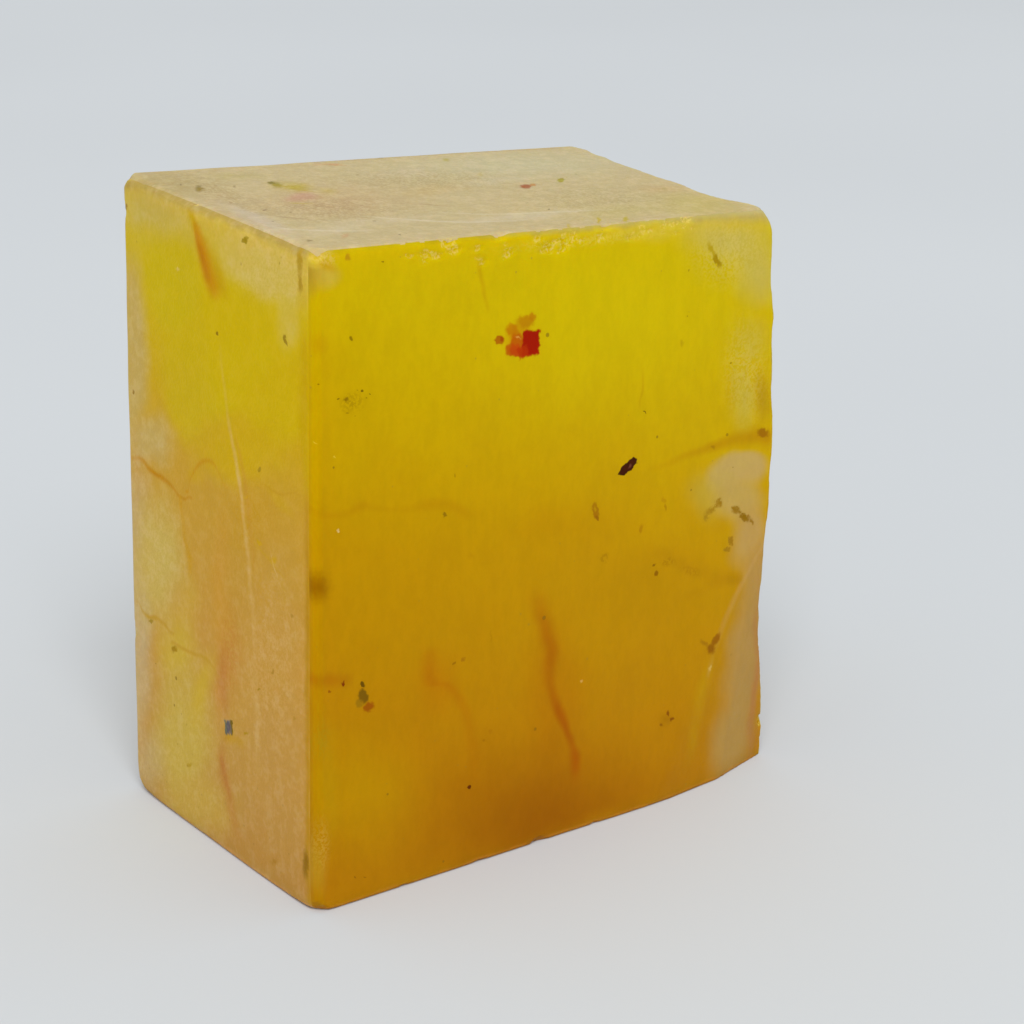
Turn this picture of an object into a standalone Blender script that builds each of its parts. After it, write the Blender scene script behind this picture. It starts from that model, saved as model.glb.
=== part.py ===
"""Rough sapphire: one sawn block of cloudy yellow sapphire that stands on its flat base.

Five sides are saw cuts, each a degree or so off square. The right side is a rough break. Two
shallow facets take off the lower right of the front, two saw cuts meet in a ridge down the left
side, and the arrises are worn and chipped.

Metres, +Z up. The front faces -Y. Places are given from the near corner of the base, where the
front and the left side meet, and the finished stone has its origin at the bottom centre of its box.
"""

import math
import random

import bmesh
import bpy
from mathutils import Matrix, Vector, noise

MM = 0.001

# Driving dimensions: the base along the front, the base front to back, and the near upright arris.
WIDTH = 33.45 * MM
DEPTH = 20.15 * MM
HEIGHT = 36.0 * MM

# How far each side is off square, in degrees. A lean is inwards, going up.
FRONT_YAW = 1.65
FRONT_LEAN = 0.2
LEFT_LEAN = 0.9
RIGHT_LEAN = 3.2
RIGHT_YAW = 1.5
BACK_YAW = 1.1
TOP_FALLS_RIGHT = 3.1
TOP_RISES_BACK = 1.9

# The break on the front's lower right, as two facets. Each starts along a line on the front, from
# (x, z) high to (x, z) low, and turns away from the front by its angle in degrees.
UPPER_FACET = ((31.4 * MM, 15.2 * MM), (26.2 * MM, 4.8 * MM), 6.0)
LOWER_FACET = ((30.1 * MM, 9.9 * MM), (27.3 * MM, 0.2 * MM), 17.0)

# The ridge on the left side where two saw cuts met, as (y, z) from top to bottom, and how far it
# stands out of the side at the top. It fades to nothing at the base.
RIDGE_LINE = ((11.9, 36.6), (10.2, 29.7), (8.5, 24.8), (7.05, 20.2), (6.2, 13.5), (5.5, 0.0))
RIDGE_RISE = 0.45 * MM

# Rounding of the arrises, and how much of each corner is worn off.
CRISP_ARRIS = 0.2 * MM
WORN_ARRIS = 0.5 * MM
ARRIS_SEGMENTS = 3
NEAR_CORNER_WEAR = 0.22 * MM
FAR_CORNER_WEAR = 0.3 * MM

# The rough right side: its broad lumps, the ledges that they break into, its grain, and the swells
# and hollows across it as (y, z, reach in y, reach in z, height).
BREAK_CELL = 0.6 * MM
BREAK_LUMP = 7.5 * MM
BREAK_LUMP_RISE = 0.75 * MM
BREAK_LEDGE = 0.3 * MM
LEDGE_RUN = 0.35
BREAK_GRAIN = 0.1 * MM
BREAK_SWELLS = (
    (1.0, 11.0, 6.0, 9.5, -0.9),
    (6.1, 36.0, 3.6, 7.0, -0.5),
    (10.3, 35.0, 3.0, 8.0, -0.2),
    (16.5, 33.0, 6.0, 12.0, 0.15),
    (1.5, 25.5, 5.0, 6.5, 0.4),
    (12.5, 17.0, 8.0, 10.0, -0.5),
    (16.0, 6.0, 5.0, 6.0, 0.35),
)
RIM_REACH = 1.4 * MM
RIM_CURL = 0.45 * MM

# Chips set by hand along an arris, as (distance along it, radius of the scoop, bite) in mm.
TOP_FRONT_CHIPS = (
    (5.2, 0.5, 0.07),
    (8.9, 0.6, 0.07),
    (11.8, 0.8, 0.13),
    (13.5, 0.6, 0.10),
    (14.6, 0.8, 0.15),
    (15.7, 0.6, 0.10),
    (16.9, 0.5, 0.08),
    (18.7, 0.7, 0.13),
    (20.8, 0.7, 0.11),
    (23.1, 0.6, 0.10),
    (24.5, 0.7, 0.13),
    (27.3, 0.8, 0.09),
)
NEAR_UPRIGHT_CHIPS = (
    (1.4, 0.8, 0.10),
    (2.9, 1.0, 0.14),
    (21.5, 0.7, 0.06),
    (31.0, 1.0, 0.11),
    (33.8, 0.8, 0.12),
)
BACK_LEFT_CHIPS = (
    (5.0, 0.7, 0.08),
    (10.0, 1.0, 0.14),
    (23.0, 0.8, 0.09),
    (34.6, 0.7, 0.22),
)
# Chips spread by chance along the rest: how many on each arris, and the range of their sizes.
SPREAD_CHIPS = {"top_left": 6, "top_back": 8, "bottom_front": 8, "bottom_left": 6, "bottom_back": 6}
SPREAD_RADIUS = (0.6, 1.3)
SPREAD_BITE = (0.05, 0.14)
CHIP_SEED = 11

SAPPHIRE_YELLOW = (0.55, 0.36, 0.02)
SAWN_ROUGHNESS = 0.5

WELD = 0.000002
LUMP = 90 * MM


def clear_scene():
    for obj in list(bpy.data.objects):
        bpy.data.objects.remove(obj, do_unlink=True)


def collection(name):
    made = bpy.data.collections.new(name)
    bpy.context.scene.collection.children.link(made)
    return made


def mesh_object(name, bm, into):
    mesh = bpy.data.meshes.new(name)
    bmesh.ops.recalc_face_normals(bm, faces=bm.faces)
    bm.to_mesh(mesh)
    bm.free()
    made = bpy.data.objects.new(name, mesh)
    into.objects.link(made)
    return made


def cutter(name, bm, into):
    made = mesh_object(name, bm, into)
    made.hide_render = True
    made.display_type = "WIRE"
    return made


def evaluated_mesh(obj):
    """The object's mesh with its modifiers built in."""
    graph = bpy.context.evaluated_depsgraph_get()
    return bpy.data.meshes.new_from_object(obj.evaluated_get(graph))


def slope(degrees):
    return math.tan(math.radians(degrees))


# Each side as a point on it and the way it faces.
NEAR_CORNER = Vector((0, 0, 0))
FRONT = (NEAR_CORNER, Vector((slope(FRONT_YAW), -1, slope(FRONT_LEAN))))
LEFT = (NEAR_CORNER, Vector((-1, 0, slope(LEFT_LEAN))))
RIGHT = (Vector((WIDTH, 0, 0)), Vector((1, -slope(RIGHT_YAW), slope(RIGHT_LEAN))))
BACK = (Vector((0, DEPTH, 0)), Vector((-slope(BACK_YAW), 1, 0)))
TOP = (Vector((0, 0, HEIGHT)), Vector((slope(TOP_FALLS_RIGHT), -slope(TOP_RISES_BACK), 1)))
BASE = (NEAR_CORNER, Vector((0, 0, -1)))


def corner(*sides):
    """The point that three sides share."""
    facing = Matrix([normal for _, normal in sides])
    return facing.inverted() @ Vector([point.dot(normal) for point, normal in sides])


def outward(*sides):
    return sum((normal.normalized() for _, normal in sides), Vector()).normalized()


def on_front(x, z):
    return Vector((x, x * slope(FRONT_YAW) + z * slope(FRONT_LEAN), z))


def facet(high, low, degrees):
    """A cut that starts along a line on the front and turns back from it, on its right-hand side."""
    start, end = on_front(*high), on_front(*low)
    along = (start - end).normalized()
    turned = Matrix.Rotation(math.radians(degrees), 3, along) @ FRONT[1].normalized()
    return end, turned


def saw(bm, cut):
    """Takes away what lies beyond a cut, and closes the stone with a flat face there."""
    point, normal = cut
    everything = bm.verts[:] + bm.edges[:] + bm.faces[:]
    sliced = bmesh.ops.bisect_plane(
        bm, geom=everything, plane_co=point, plane_no=normal, dist=WELD, clear_outer=True
    )
    rim = [item for item in sliced["geom_cut"] if isinstance(item, bmesh.types.BMEdge)]
    bmesh.ops.edgeloop_fill(bm, edges=rim)


def score(bm, point, normal):
    """Adds edges where a plane crosses the stone, and takes nothing away."""
    everything = bm.verts[:] + bm.edges[:] + bm.faces[:]
    bmesh.ops.bisect_plane(bm, geom=everything, plane_co=point, plane_no=normal, dist=WELD)


def sawn_block():
    """A lump cut down by the saw cuts and the broken facets."""
    bm = bmesh.new()
    bmesh.ops.create_cube(bm, size=LUMP)
    # The right side is only roughed out here, clear of the break that follows.
    rough_right = (RIGHT[0] + Vector((3 * MM, 0, 0)), RIGHT[1])
    cuts = [FRONT, LEFT, BACK, TOP, BASE, rough_right]
    cuts += [facet(*UPPER_FACET), facet(*LOWER_FACET)]
    for cut in cuts:
        saw(bm, cut)
    return bm


def lies_on(edge, cut):
    point, normal = cut
    return all(abs((vert.co - point).dot(normal.normalized())) < WELD for vert in edge.verts)


def weigh_arrises(bm):
    """Crisp arrises round the base and the front's top, worn ones elsewhere, none on the facets."""
    weight = bm.edges.layers.float.new("bevel_weight_edge")
    for edge in bm.edges:
        met = [cut for cut in (FRONT, LEFT, BACK, TOP, BASE) if lies_on(edge, cut)]
        if len(met) < 2:
            continue
        crisp = BASE in met or (FRONT in met and TOP in met)
        edge[weight] = CRISP_ARRIS / WORN_ARRIS if crisp else 1.0


def rounded_block(stone_parts):
    """The sawn block with its arrises rounded, as an open bmesh."""
    bm = sawn_block()
    weigh_arrises(bm)
    block = mesh_object("rounding", bm, stone_parts)
    rounding = block.modifiers.new("arrises", "BEVEL")
    rounding.limit_method = "WEIGHT"
    rounding.width = WORN_ARRIS
    rounding.segments = ARRIS_SEGMENTS
    rounded = evaluated_mesh(block)
    bpy.data.objects.remove(block, do_unlink=True)
    bm = bmesh.new()
    bm.from_mesh(rounded)
    return bm


def wear_corners(bm):
    """Small facets where the corners of the saw cuts have worn away."""
    worn = (
        ((FRONT, LEFT, TOP), NEAR_CORNER_WEAR),
        ((FRONT, LEFT, BASE), NEAR_CORNER_WEAR),
        ((BACK, LEFT, TOP), FAR_CORNER_WEAR),
        ((BACK, LEFT, BASE), FAR_CORNER_WEAR),
    )
    for sides, wear in worn:
        away = outward(*sides)
        # A rounded corner already stands this far inside the sharp one.
        rounded_off = WORN_ARRIS * (math.sqrt(3) - 1)
        saw(bm, (corner(*sides) - away * (rounded_off + wear), away))


def ridge_y(z):
    """Where the ridge stands at a height."""
    line = RIDGE_LINE
    for (high_y, high_z), (low_y, low_z) in zip(line, line[1:]):
        if z / MM >= low_z:
            share = (z / MM - low_z) / (high_z - low_z)
            return (low_y + share * (high_y - low_y)) * MM
    return line[-1][0] * MM


def pull_to_ridge(point):
    """How far the ridge moves a point: outwards most on the ridge, and not at all on the right side."""
    crest = ridge_y(point.z)
    if point.y < crest:
        nearness = point.y / crest
    else:
        nearness = (DEPTH - point.y) / (DEPTH - crest)
    nearness = min(max(nearness, 0.0), 1.0)
    rise = RIDGE_RISE * point.z / HEIGHT
    return Vector((-rise * nearness * (1 - point.x / WIDTH), 0, 0))


def raise_ridge(bm):
    """Scores the left side along the ridge and level with its bends, then draws the ridge out."""
    for (high_y, high_z), (low_y, low_z) in zip(RIDGE_LINE, RIDGE_LINE[1:]):
        low = Vector((0, low_y, low_z)) * MM
        run = Vector((0, high_y - low_y, high_z - low_z))
        score(bm, low, run.cross(Vector((1, 0, 0))))
        if low_z > 0:
            score(bm, low, Vector((0, 0, 1)))
    for vert in bm.verts:
        vert.co += pull_to_ridge(vert.co)


def dome(y, z, swell):
    """A smooth bump at a swell's centre that fades out at its reach."""
    centre_y, centre_z, reach_y, reach_z, height = swell
    away = math.hypot((y / MM - centre_y) / reach_y, (z / MM - centre_z) / reach_z)
    return height * MM * (1 + math.cos(math.pi * min(away, 1.0))) / 2


def in_ledges(rise):
    """Breaks a smooth rise into flat ledges with a short steep run between them."""
    ledge = math.floor(rise / BREAK_LEDGE)
    into_run = (rise / BREAK_LEDGE - ledge - 1 + LEDGE_RUN) / LEDGE_RUN
    return BREAK_LEDGE * (ledge + max(0.0, into_run))


def break_face(y, z):
    """How far right the rough side stands, at a depth and a height."""
    side = WIDTH + y * slope(RIGHT_YAW) - z * slope(RIGHT_LEAN)
    spot = Vector((3.1 * MM, y, z)) / BREAK_LUMP
    lumps = in_ledges(BREAK_LUMP_RISE * noise.noise(spot + Vector((4.7, 1.3, 2.9))))
    grain = BREAK_GRAIN * noise.fractal(spot * 4, 0.8, 2.1, 3)
    relief = lumps + grain + sum(dome(y, z, swell) for swell in BREAK_SWELLS)
    front = on_front(WIDTH, z).y
    back = DEPTH + WIDTH * slope(BACK_YAW)
    top = HEIGHT - WIDTH * slope(TOP_FALLS_RIGHT) + y * slope(TOP_RISES_BACK)
    rims = (y - front, back - y, top - z)
    curl = sum(RIM_CURL * max(0.0, 1 - rim / RIM_REACH) ** 2 for rim in rims)
    return side + relief - curl


def break_cutter(into):
    """A slab whose inner face is the rough break. It takes off everything to the right of it."""
    margin = 3 * MM
    low_y, high_y = -margin, DEPTH + margin
    low_z, high_z = -margin, HEIGHT + margin
    across = round((high_y - low_y) / BREAK_CELL)
    up = round((high_z - low_z) / BREAK_CELL)
    bm = bmesh.new()
    bmesh.ops.create_grid(bm, x_segments=across, y_segments=up, size=0.5)
    for vert in bm.verts:
        y = low_y + (vert.co.x + 0.5) * (high_y - low_y)
        z = low_z + (vert.co.y + 0.5) * (high_z - low_z)
        vert.co = Vector((break_face(y, z), y, z))
    sides = bmesh.ops.extrude_face_region(bm, geom=bm.faces[:])
    moved = [item for item in sides["geom"] if isinstance(item, bmesh.types.BMVert)]
    bmesh.ops.translate(bm, verts=moved, vec=Vector((10 * MM, 0, 0)))
    return cutter("right_break", bm, into)


def scoop(name, place, away, radius, bite, chance, into):
    """A chip: a squashed ball that bites a little way into an arris."""
    centre = place + pull_to_ridge(place) + away * (radius - bite)
    turn = Matrix.Rotation(chance.uniform(0, math.tau), 4, Vector((0.3, 0.5, 0.8)).normalized())
    squash = Matrix.Diagonal(Vector((1.0, chance.uniform(0.7, 1.3), chance.uniform(0.8, 1.2), 1.0)))
    bm = bmesh.new()
    bmesh.ops.create_icosphere(bm, subdivisions=2, radius=radius)
    bmesh.ops.transform(bm, matrix=Matrix.Translation(centre) @ turn @ squash, verts=bm.verts)
    cutter(name, bm, into)


def chip_arris(name, sides, ends, rounding, chips, chance, into):
    """Scoops along the arris of two sides, between the sides that end it."""
    start, end = corner(*sides, ends[0]), corner(*sides, ends[1])
    along = (end - start).normalized()
    # The rounded arris already stands this far inside the sharp one.
    rounded_off = rounding * (math.sqrt(2) - 1)
    for i, (distance, radius, bite) in enumerate(chips):
        lean = Vector([chance.uniform(-0.2, 0.2) for _ in range(3)])
        away = (outward(*sides) + lean).normalized()
        place = start + along * distance * MM - away * rounded_off
        scoop(f"chip_{name}_{i}", place, away, radius * MM, bite * MM, chance, into)


def spread_chips(count, length, chance):
    """Chips of chance sizes, one in each equal stretch of an arris."""
    chips = []
    for i in range(count):
        distance = (i + chance.uniform(0.2, 0.8)) / count * length
        chips.append((distance, chance.uniform(*SPREAD_RADIUS), chance.uniform(*SPREAD_BITE)))
    return chips


def chip_cutters(into):
    chance = random.Random(CHIP_SEED)
    chip_arris("top_front", (TOP, FRONT), (LEFT, RIGHT), CRISP_ARRIS, TOP_FRONT_CHIPS, chance, into)
    chip_arris("near_upright", (FRONT, LEFT), (BASE, TOP), WORN_ARRIS, NEAR_UPRIGHT_CHIPS, chance, into)
    chip_arris("back_left", (BACK, LEFT), (BASE, TOP), WORN_ARRIS, BACK_LEFT_CHIPS, chance, into)
    arrises = {
        "top_left": ((TOP, LEFT), (FRONT, BACK), WORN_ARRIS),
        "top_back": ((TOP, BACK), (LEFT, RIGHT), WORN_ARRIS),
        "bottom_front": ((BASE, FRONT), (LEFT, RIGHT), CRISP_ARRIS),
        "bottom_left": ((BASE, LEFT), (FRONT, BACK), CRISP_ARRIS),
        "bottom_back": ((BASE, BACK), (LEFT, RIGHT), CRISP_ARRIS),
    }
    for name, (sides, ends, rounding) in arrises.items():
        length = (corner(*sides, ends[1]) - corner(*sides, ends[0])).length / MM
        chips = spread_chips(SPREAD_CHIPS[name], length, chance)
        chip_arris(name, sides, ends, rounding, chips, chance, into)


def cut_away(obj, name, tool):
    """A Boolean that takes a cutter, or every cutter in a collection, from the stone."""
    modifier = obj.modifiers.new(name, "BOOLEAN")
    modifier.operation = "DIFFERENCE"
    modifier.solver = "EXACT"
    if isinstance(tool, bpy.types.Collection):
        modifier.operand_type = "COLLECTION"
        modifier.collection = tool
    else:
        modifier.object = tool


def sapphire_material():
    material = bpy.data.materials.new("cloudy_yellow_sapphire")
    material.use_nodes = True
    shader = material.node_tree.nodes["Principled BSDF"]
    shader.inputs["Base Color"].default_value = (*SAPPHIRE_YELLOW, 1.0)
    shader.inputs["Roughness"].default_value = SAWN_ROUGHNESS
    shader.inputs["Metallic"].default_value = 0.0
    return material


def centre_on_base(obj):
    """Puts the origin at the bottom centre of the finished stone's box, with its cuts built in."""
    finished = evaluated_mesh(obj)
    spots = [vert.co for vert in finished.vertices]
    low, high = (Vector([pick(spot[axis] for spot in spots) for axis in range(3)]) for pick in (min, max))
    finished.transform(Matrix.Translation(-Vector(((low.x + high.x) / 2, (low.y + high.y) / 2, low.z))))
    obj.modifiers.clear()
    obj.data = finished


def build_sapphire():
    clear_scene()
    stone_parts = collection("rough_sapphire")
    cutters = collection("cutters")
    chips = collection("chips")

    bm = rounded_block(stone_parts)
    wear_corners(bm)
    raise_ridge(bm)
    stone = mesh_object("sapphire_block", bm, stone_parts)
    stone.data.materials.append(sapphire_material())

    chip_cutters(chips)
    cut_away(stone, "rough break", break_cutter(cutters))
    cut_away(stone, "chips", chips)
    centre_on_base(stone)


build_sapphire()
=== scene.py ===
"""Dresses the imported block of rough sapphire: a cloudy yellow stone with sawn faces, one broken side,
rust-stained cracks and dark flecks.

Stone places are in millimetres from the near corner of its base: x to the right along the front face,
y towards the back and z up. A face has two of them as its axes: x and z on the front and the back, y and
z on the left side and the break, x and y on the top and the base. The marks that the camera sees are
placed in its frame, and Finder turns that into millimetres on their face.
"""

import math
from collections import namedtuple

import bpy
import numpy as np
from bpy.props import FloatProperty, FloatVectorProperty, PointerProperty
from mathutils import Matrix, Vector, noise
from mathutils.bvhtree import BVHTree


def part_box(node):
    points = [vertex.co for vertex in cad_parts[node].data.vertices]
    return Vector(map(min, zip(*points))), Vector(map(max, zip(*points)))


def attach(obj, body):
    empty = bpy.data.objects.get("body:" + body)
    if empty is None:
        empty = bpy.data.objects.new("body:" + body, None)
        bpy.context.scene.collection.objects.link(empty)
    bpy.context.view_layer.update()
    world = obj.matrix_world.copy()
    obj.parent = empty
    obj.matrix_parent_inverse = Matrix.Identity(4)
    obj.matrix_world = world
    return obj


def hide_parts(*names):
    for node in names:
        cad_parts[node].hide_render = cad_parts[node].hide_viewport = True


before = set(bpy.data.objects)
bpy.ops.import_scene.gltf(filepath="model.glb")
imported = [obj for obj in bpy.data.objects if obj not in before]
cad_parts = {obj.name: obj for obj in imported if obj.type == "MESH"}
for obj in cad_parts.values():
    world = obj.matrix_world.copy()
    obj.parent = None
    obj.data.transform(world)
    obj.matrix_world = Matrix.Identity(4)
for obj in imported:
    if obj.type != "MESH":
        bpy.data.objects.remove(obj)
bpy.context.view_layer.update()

bl_info = {
    "name": "Rough sapphire block",
    "version": (1, 0, 0),
    "blender": (4, 5, 0),
    "location": "View3D > Sidebar > Sapphire",
    "description": "Builds a sawn block of cloudy yellow sapphire rough and the stage it rests on",
    "category": "Object",
}

MM = 0.001
BLOCK_NODE = "sapphire_block"
NEAR_CORNER = Vector(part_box(BLOCK_NODE)[0])
BLOCK_SIZE = (Vector(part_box(BLOCK_NODE)[1]) - NEAR_CORNER) / MM

# Camera, in the stone's millimetres: where it stands, what way it looks, its roll and lens, how near and far
# it sees in metres, and the side of its square frame in pixels
EYE = (-64.84, -106.5, 63.87)
SIGHT = (0.55866, 0.76753, -0.31432)
ROLL_DEGREES = 0.59
LENS = 91.3
SENSOR_WIDTH = 36.0
CLIP_START = 0.01
CLIP_END = 20.0
FRAME_SIDE = 1024

# The lamp, in metres from the middle of the floor
SOFTBOX_PLACE = (-1.3, -2.1, 2.6)

# The lattice that becomes the stone's skin: how much each step outgrows the last one away from an arris,
# and how its rays are cast, from a start beyond the skin to a core this many mm inside it
STEP_GROWTH = 1.18
RAY_MARGIN = 4.0
RAY_START = 1.6

# The broken side is smoothed from this far inside its rim, in mm, and the foot of the left side over this
# many rows of the lattice
BREAK_FADE = 1.2
BREAK_SMOOTHINGS = 3
FOOT_BAND = 14
FOOT_SMOOTHINGS = 80

# Relief as the scale, layers and offset of its noise, how fast finer layers fade and how much finer each is,
# and the share of the break's relief left at its rim
SLOW_WAVES = (0.16, 2, 3.0)
BREAK_GRIT = (0.55, 5, 9.0)
FRAYED_EDGE = (1.6, 3, 5.0)
RELIEF_FADE = 0.9
RELIEF_STEP = 2.1
RIM_GRIT = 0.25

# How far the front's colour laps round onto each side, and the left side's onto the base, in mm
FRONT_OVERLAP = {"left": 0.84, "top": 0.4, "break": 1.3, "base": 0.7}
LEFT_OVERLAP = 0.7
OVERLAP_FRAY = 0.07

# Each chip is the bite of a ball, in mm. Clusters: least and greatest radius and bite, how far to each side
# and upwards the ball may stand, and how wide a strip it picks its place from
CHIP_SEED = 31
CLUSTER_RADIUS = (0.14, 0.38)
CLUSTER_BITE = (0.03, 0.09)
CLUSTER_SWAY = 0.4
CLUSTER_RISE = 0.35
CLUSTER_STRIP = 0.3

# Random nicks: the least radius, how much it may grow and how seldom it does, the bite as a share of it
NICK_RADIUS = 0.12
NICK_GROWTH = 0.45
NICK_RARITY = 3
NICK_BITE = (0.12, 0.32)
NICK_SWAY = 0.35

# Noise that moves the marks about, as its scale and how far it moves them in mm: clouds, veins, flecks
DRIFT = (0.3, 1.8)
WANDER = (0.7, 0.36)
FRAY = (3.6, 0.34)

# Finding marks: how squarely the surface has to look a face's way to be part of it, how much longer one half
# of an oval may be for it to count as round, and how few degrees of turn count as none
FACE_ON = 0.7
NEARLY_ROUND = 0.04
NEARLY_STRAIGHT = 2.0

# In mm: how far past its ends a vein fades out, the least width that its course is drawn in, and how far
# outside a tile a mark still counts as on it
VEIN_FADE = 0.3
NARROWEST_SPAN = 0.1
TILE_MARGIN = 0.4

# Where along the front the body colour's height is taken as it is, in mm; it climbs to the right of that
CLIMB_MIDDLE = 16

# Noises of the stone's colour and relief, as scale, detail and roughness, and the part of them that shows
GRAIN_NOISE = (6.0, 1.0, 0.7)
MOTTLE_NOISE = (1.0, 2.0, 0.95)
SAW_NOISE = (1.0, 2.0, 0.7)
MIDDLE = (0.3, 0.7)
CRUMB_RANGE = (0.38, 0.6)
SAW_SHADE = 0.02
GRAIN_SHADE = 0.012

# Frost shows where the mottle is high, and least where the colour is clear yellow, with little blue in it
FROST_RANGE = (0.42, 0.72)
CLEAR_FROST = 0.1
MILKY_BLUE = (0.005, 0.08)

# Strewn specks: cells to the mm, and each kind's size as share and start, its share of cells, and its look
SPECK_CELLS = 1.9
DUST_SIZE = (0.12, 0.06)
DUST_EDGE = (0.6, 1.0, 0.35, 0.0)
DUST_COLOUR = (140, 112, 46)
SPECK_SIZE = (0.17, 0.09)
SPECK_SHARE = 0.006
SPECK_COVER = 0.55
SPECK_COLOUR = (112, 82, 14)

# Chips: the depths in mm over which one shows, the grain that breaks it up, its cover, and its smoothness
CHIP_DEPTHS = (0.01, 0.07)
CHIP_GRAIN = (0.4, 0.7)
CHIP_COVER = 0.6
CHIP_POLISH = 0.14

# The surface: relief of its grain, and its roughness from low to high grain
BUMP_STRENGTH = 0.55
BUMP_HEIGHT = 0.05 * MM
ROUGH_GRAIN = (0.25, 0.75)
ROUGHNESS = (0.42, 0.62)
SAPPHIRE_IOR = 1.76
GLOSS_TINT = (1.0, 0.8, 0.0, 1.0)
GLOW_SPREAD = (1.0, 0.5, 0.12)

# The card on the floor
CARD_NOISE = (9.0, 1.0, 0.5)
CARD_RANGE = (0.2, 0.8)
CARD_SHADE = 0.015
CARD_ROUGHNESS = 0.9
CARD_GLOSS = 0.1


# Every colour in these tables is red, green and blue as 0 to 255 on a screen.

# Heights in mm and the body colour there, on each kind of face
FRONT_BODY = [
    (0.0, (176, 118, 5)),
    (3.0, (177, 118, 4)),
    (7.0, (181, 125, 4)),
    (12.0, (185, 134, 3)),
    (17.0, (189, 141, 2)),
    (21.0, (194, 152, 1)),
    (25.0, (198, 163, 1)),
    (30.0, (202, 173, 2)),
    (36.0, (203, 179, 4)),
]
SIDE_BODY = [
    (0.0, (177, 130, 62)),
    (4.0, (181, 138, 68)),
    (8.0, (187, 144, 66)),
    (13.0, (190, 144, 62)),
    (18.0, (190, 147, 54)),
    (22.0, (192, 150, 46)),
    (25.0, (195, 158, 24)),
    (29.0, (198, 168, 8)),
    (32.5, (197, 171, 16)),
    (36.5, (195, 170, 70)),
]
# The top's cream is partly its frosted grain and partly a painted sheen: the bright room reflected at the
# grazing view
TOP_BODY_WITH_SHEEN = [(0.0, (198, 180, 134))]
BASE_BODY = [(0.0, (188, 150, 84))]
BREAK_BODY = [
    (0.0, (182, 132, 52)),
    (9.0, (188, 144, 48)),
    (18.0, (193, 154, 52)),
    (27.0, (198, 168, 44)),
    (36.0, (200, 176, 84)),
]

# The marks that the camera sees on the front, the left side and the top. Their places, sizes and turns are in
# its square frame: pixels to the right and down from the upper left corner, and degrees anticlockwise. The
# finder puts them on the stone.

# Broad clouds: name, centre, half sizes, turn, softness of the edge, colour, strength
FRONT_CLOUDS = [
    ("lemon glow", (600, 300), (180, 150), 0, 1, (205, 181, 1), 0.7),
    ("gold foot", (360, 790), (95, 95), 0, 1, (188, 144, 2), 0.6),
    ("amber heart", (548, 825), (165, 115), 8, 1, (152, 88, 2), 0.93),
    ("foot glow", (588, 829), (135, 24), 17, 1, (178, 118, 4), 0.7),
    ("amber along red vein", (556, 700), (45, 105), 0, 1, (174, 108, 2), 0.55),
    ("orange by faint vein", (436, 682), (34, 44), 0, 1, (184, 117, 3), 0.6),
    ("orange band", (565, 528), (90, 36), 0, 1, (185, 133, 1), 0.45),
    ("ochre shade", (640, 590), (100, 50), -12, 1, (180, 132, 3), 0.5),
    ("upper left gold", (335, 420), (65, 125), 0, 1, (193, 155, 1), 0.5),
    ("frosted upper corner", (728, 236), (64, 34), 0, 0.95, (195, 175, 78), 1),
    ("frosted upper right", (756, 272), (30, 48), 0, 0.9, (194, 174, 76), 0.95),
    ("frosted top edge", (655, 232), (80, 15), 6, 0.9, (199, 178, 62), 0.55),
    ("frost patch b", (750, 342), (26, 30), 0, 1, (190, 168, 56), 0.5),
    ("frost patch c", (743, 398), (20, 44), 0, 1, (191, 168, 58), 0.75),
    ("ochre edge", (764, 395), (12, 38), 0, 1, (180, 142, 10), 0.85),
    ("tan frost a", (726, 481), (26, 32), 0, 0.55, (190, 160, 88), 1),
    ("tan frost b", (753, 472), (22, 26), 0, 0.5, (190, 158, 92), 1),
    ("tan frost crest", (740, 463), (26, 16), 0, 0.6, (191, 160, 92), 1),
    ("tan frost c", (738, 504), (34, 28), 10, 0.7, (189, 157, 84), 0.95),
    ("tan frost tail", (749, 540), (23, 42), 0, 0.75, (186, 150, 86), 0.95),
    ("tan frost haze", (706, 500), (26, 40), 15, 1, (190, 161, 56), 0.75),
    ("right facet top", (756, 578), (20, 52), -12, 0.8, (182, 142, 74), 0.95),
    ("right facet", (746, 655), (32, 95), -6, 0.6, (180, 140, 72), 1),
    ("right facet foot", (733, 738), (35, 58), -10, 0.7, (179, 141, 74), 0.95),
    ("right rim", (764, 690), (9, 140), 0, 1, (178, 120, 62), 0.9),
    ("stripe by facet", (703, 690), (12, 50), -12, 1, (190, 150, 5), 0.5),
    ("stripe foot", (690, 742), (12, 36), -8, 1, (186, 146, 6), 0.4),
    ("frosted near corner", (320, 249), (22, 10), -30, 1, (196, 172, 84), 0.8),
    ("frosted near corner low", (315, 270), (12, 26), 0, 1, (190, 164, 66), 0.75),
    ("corner veil", (328, 272), (16, 20), 0, 0.8, (190, 164, 84), 0.45),
    ("corner shade", (317, 253), (16, 8), 0, 0.9, (166, 144, 72), 0.9),
    ("amber by corner", (330, 264), (12, 8), -20, 0.9, (192, 152, 3), 0.7),
    ("frosted foot corner", (313, 870), (20, 34), 0, 0.8, (182, 142, 44), 0.6),
    ("olive foot", (328, 785), (20, 105), 0, 1, (178, 140, 6), 0.6),
]
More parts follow.
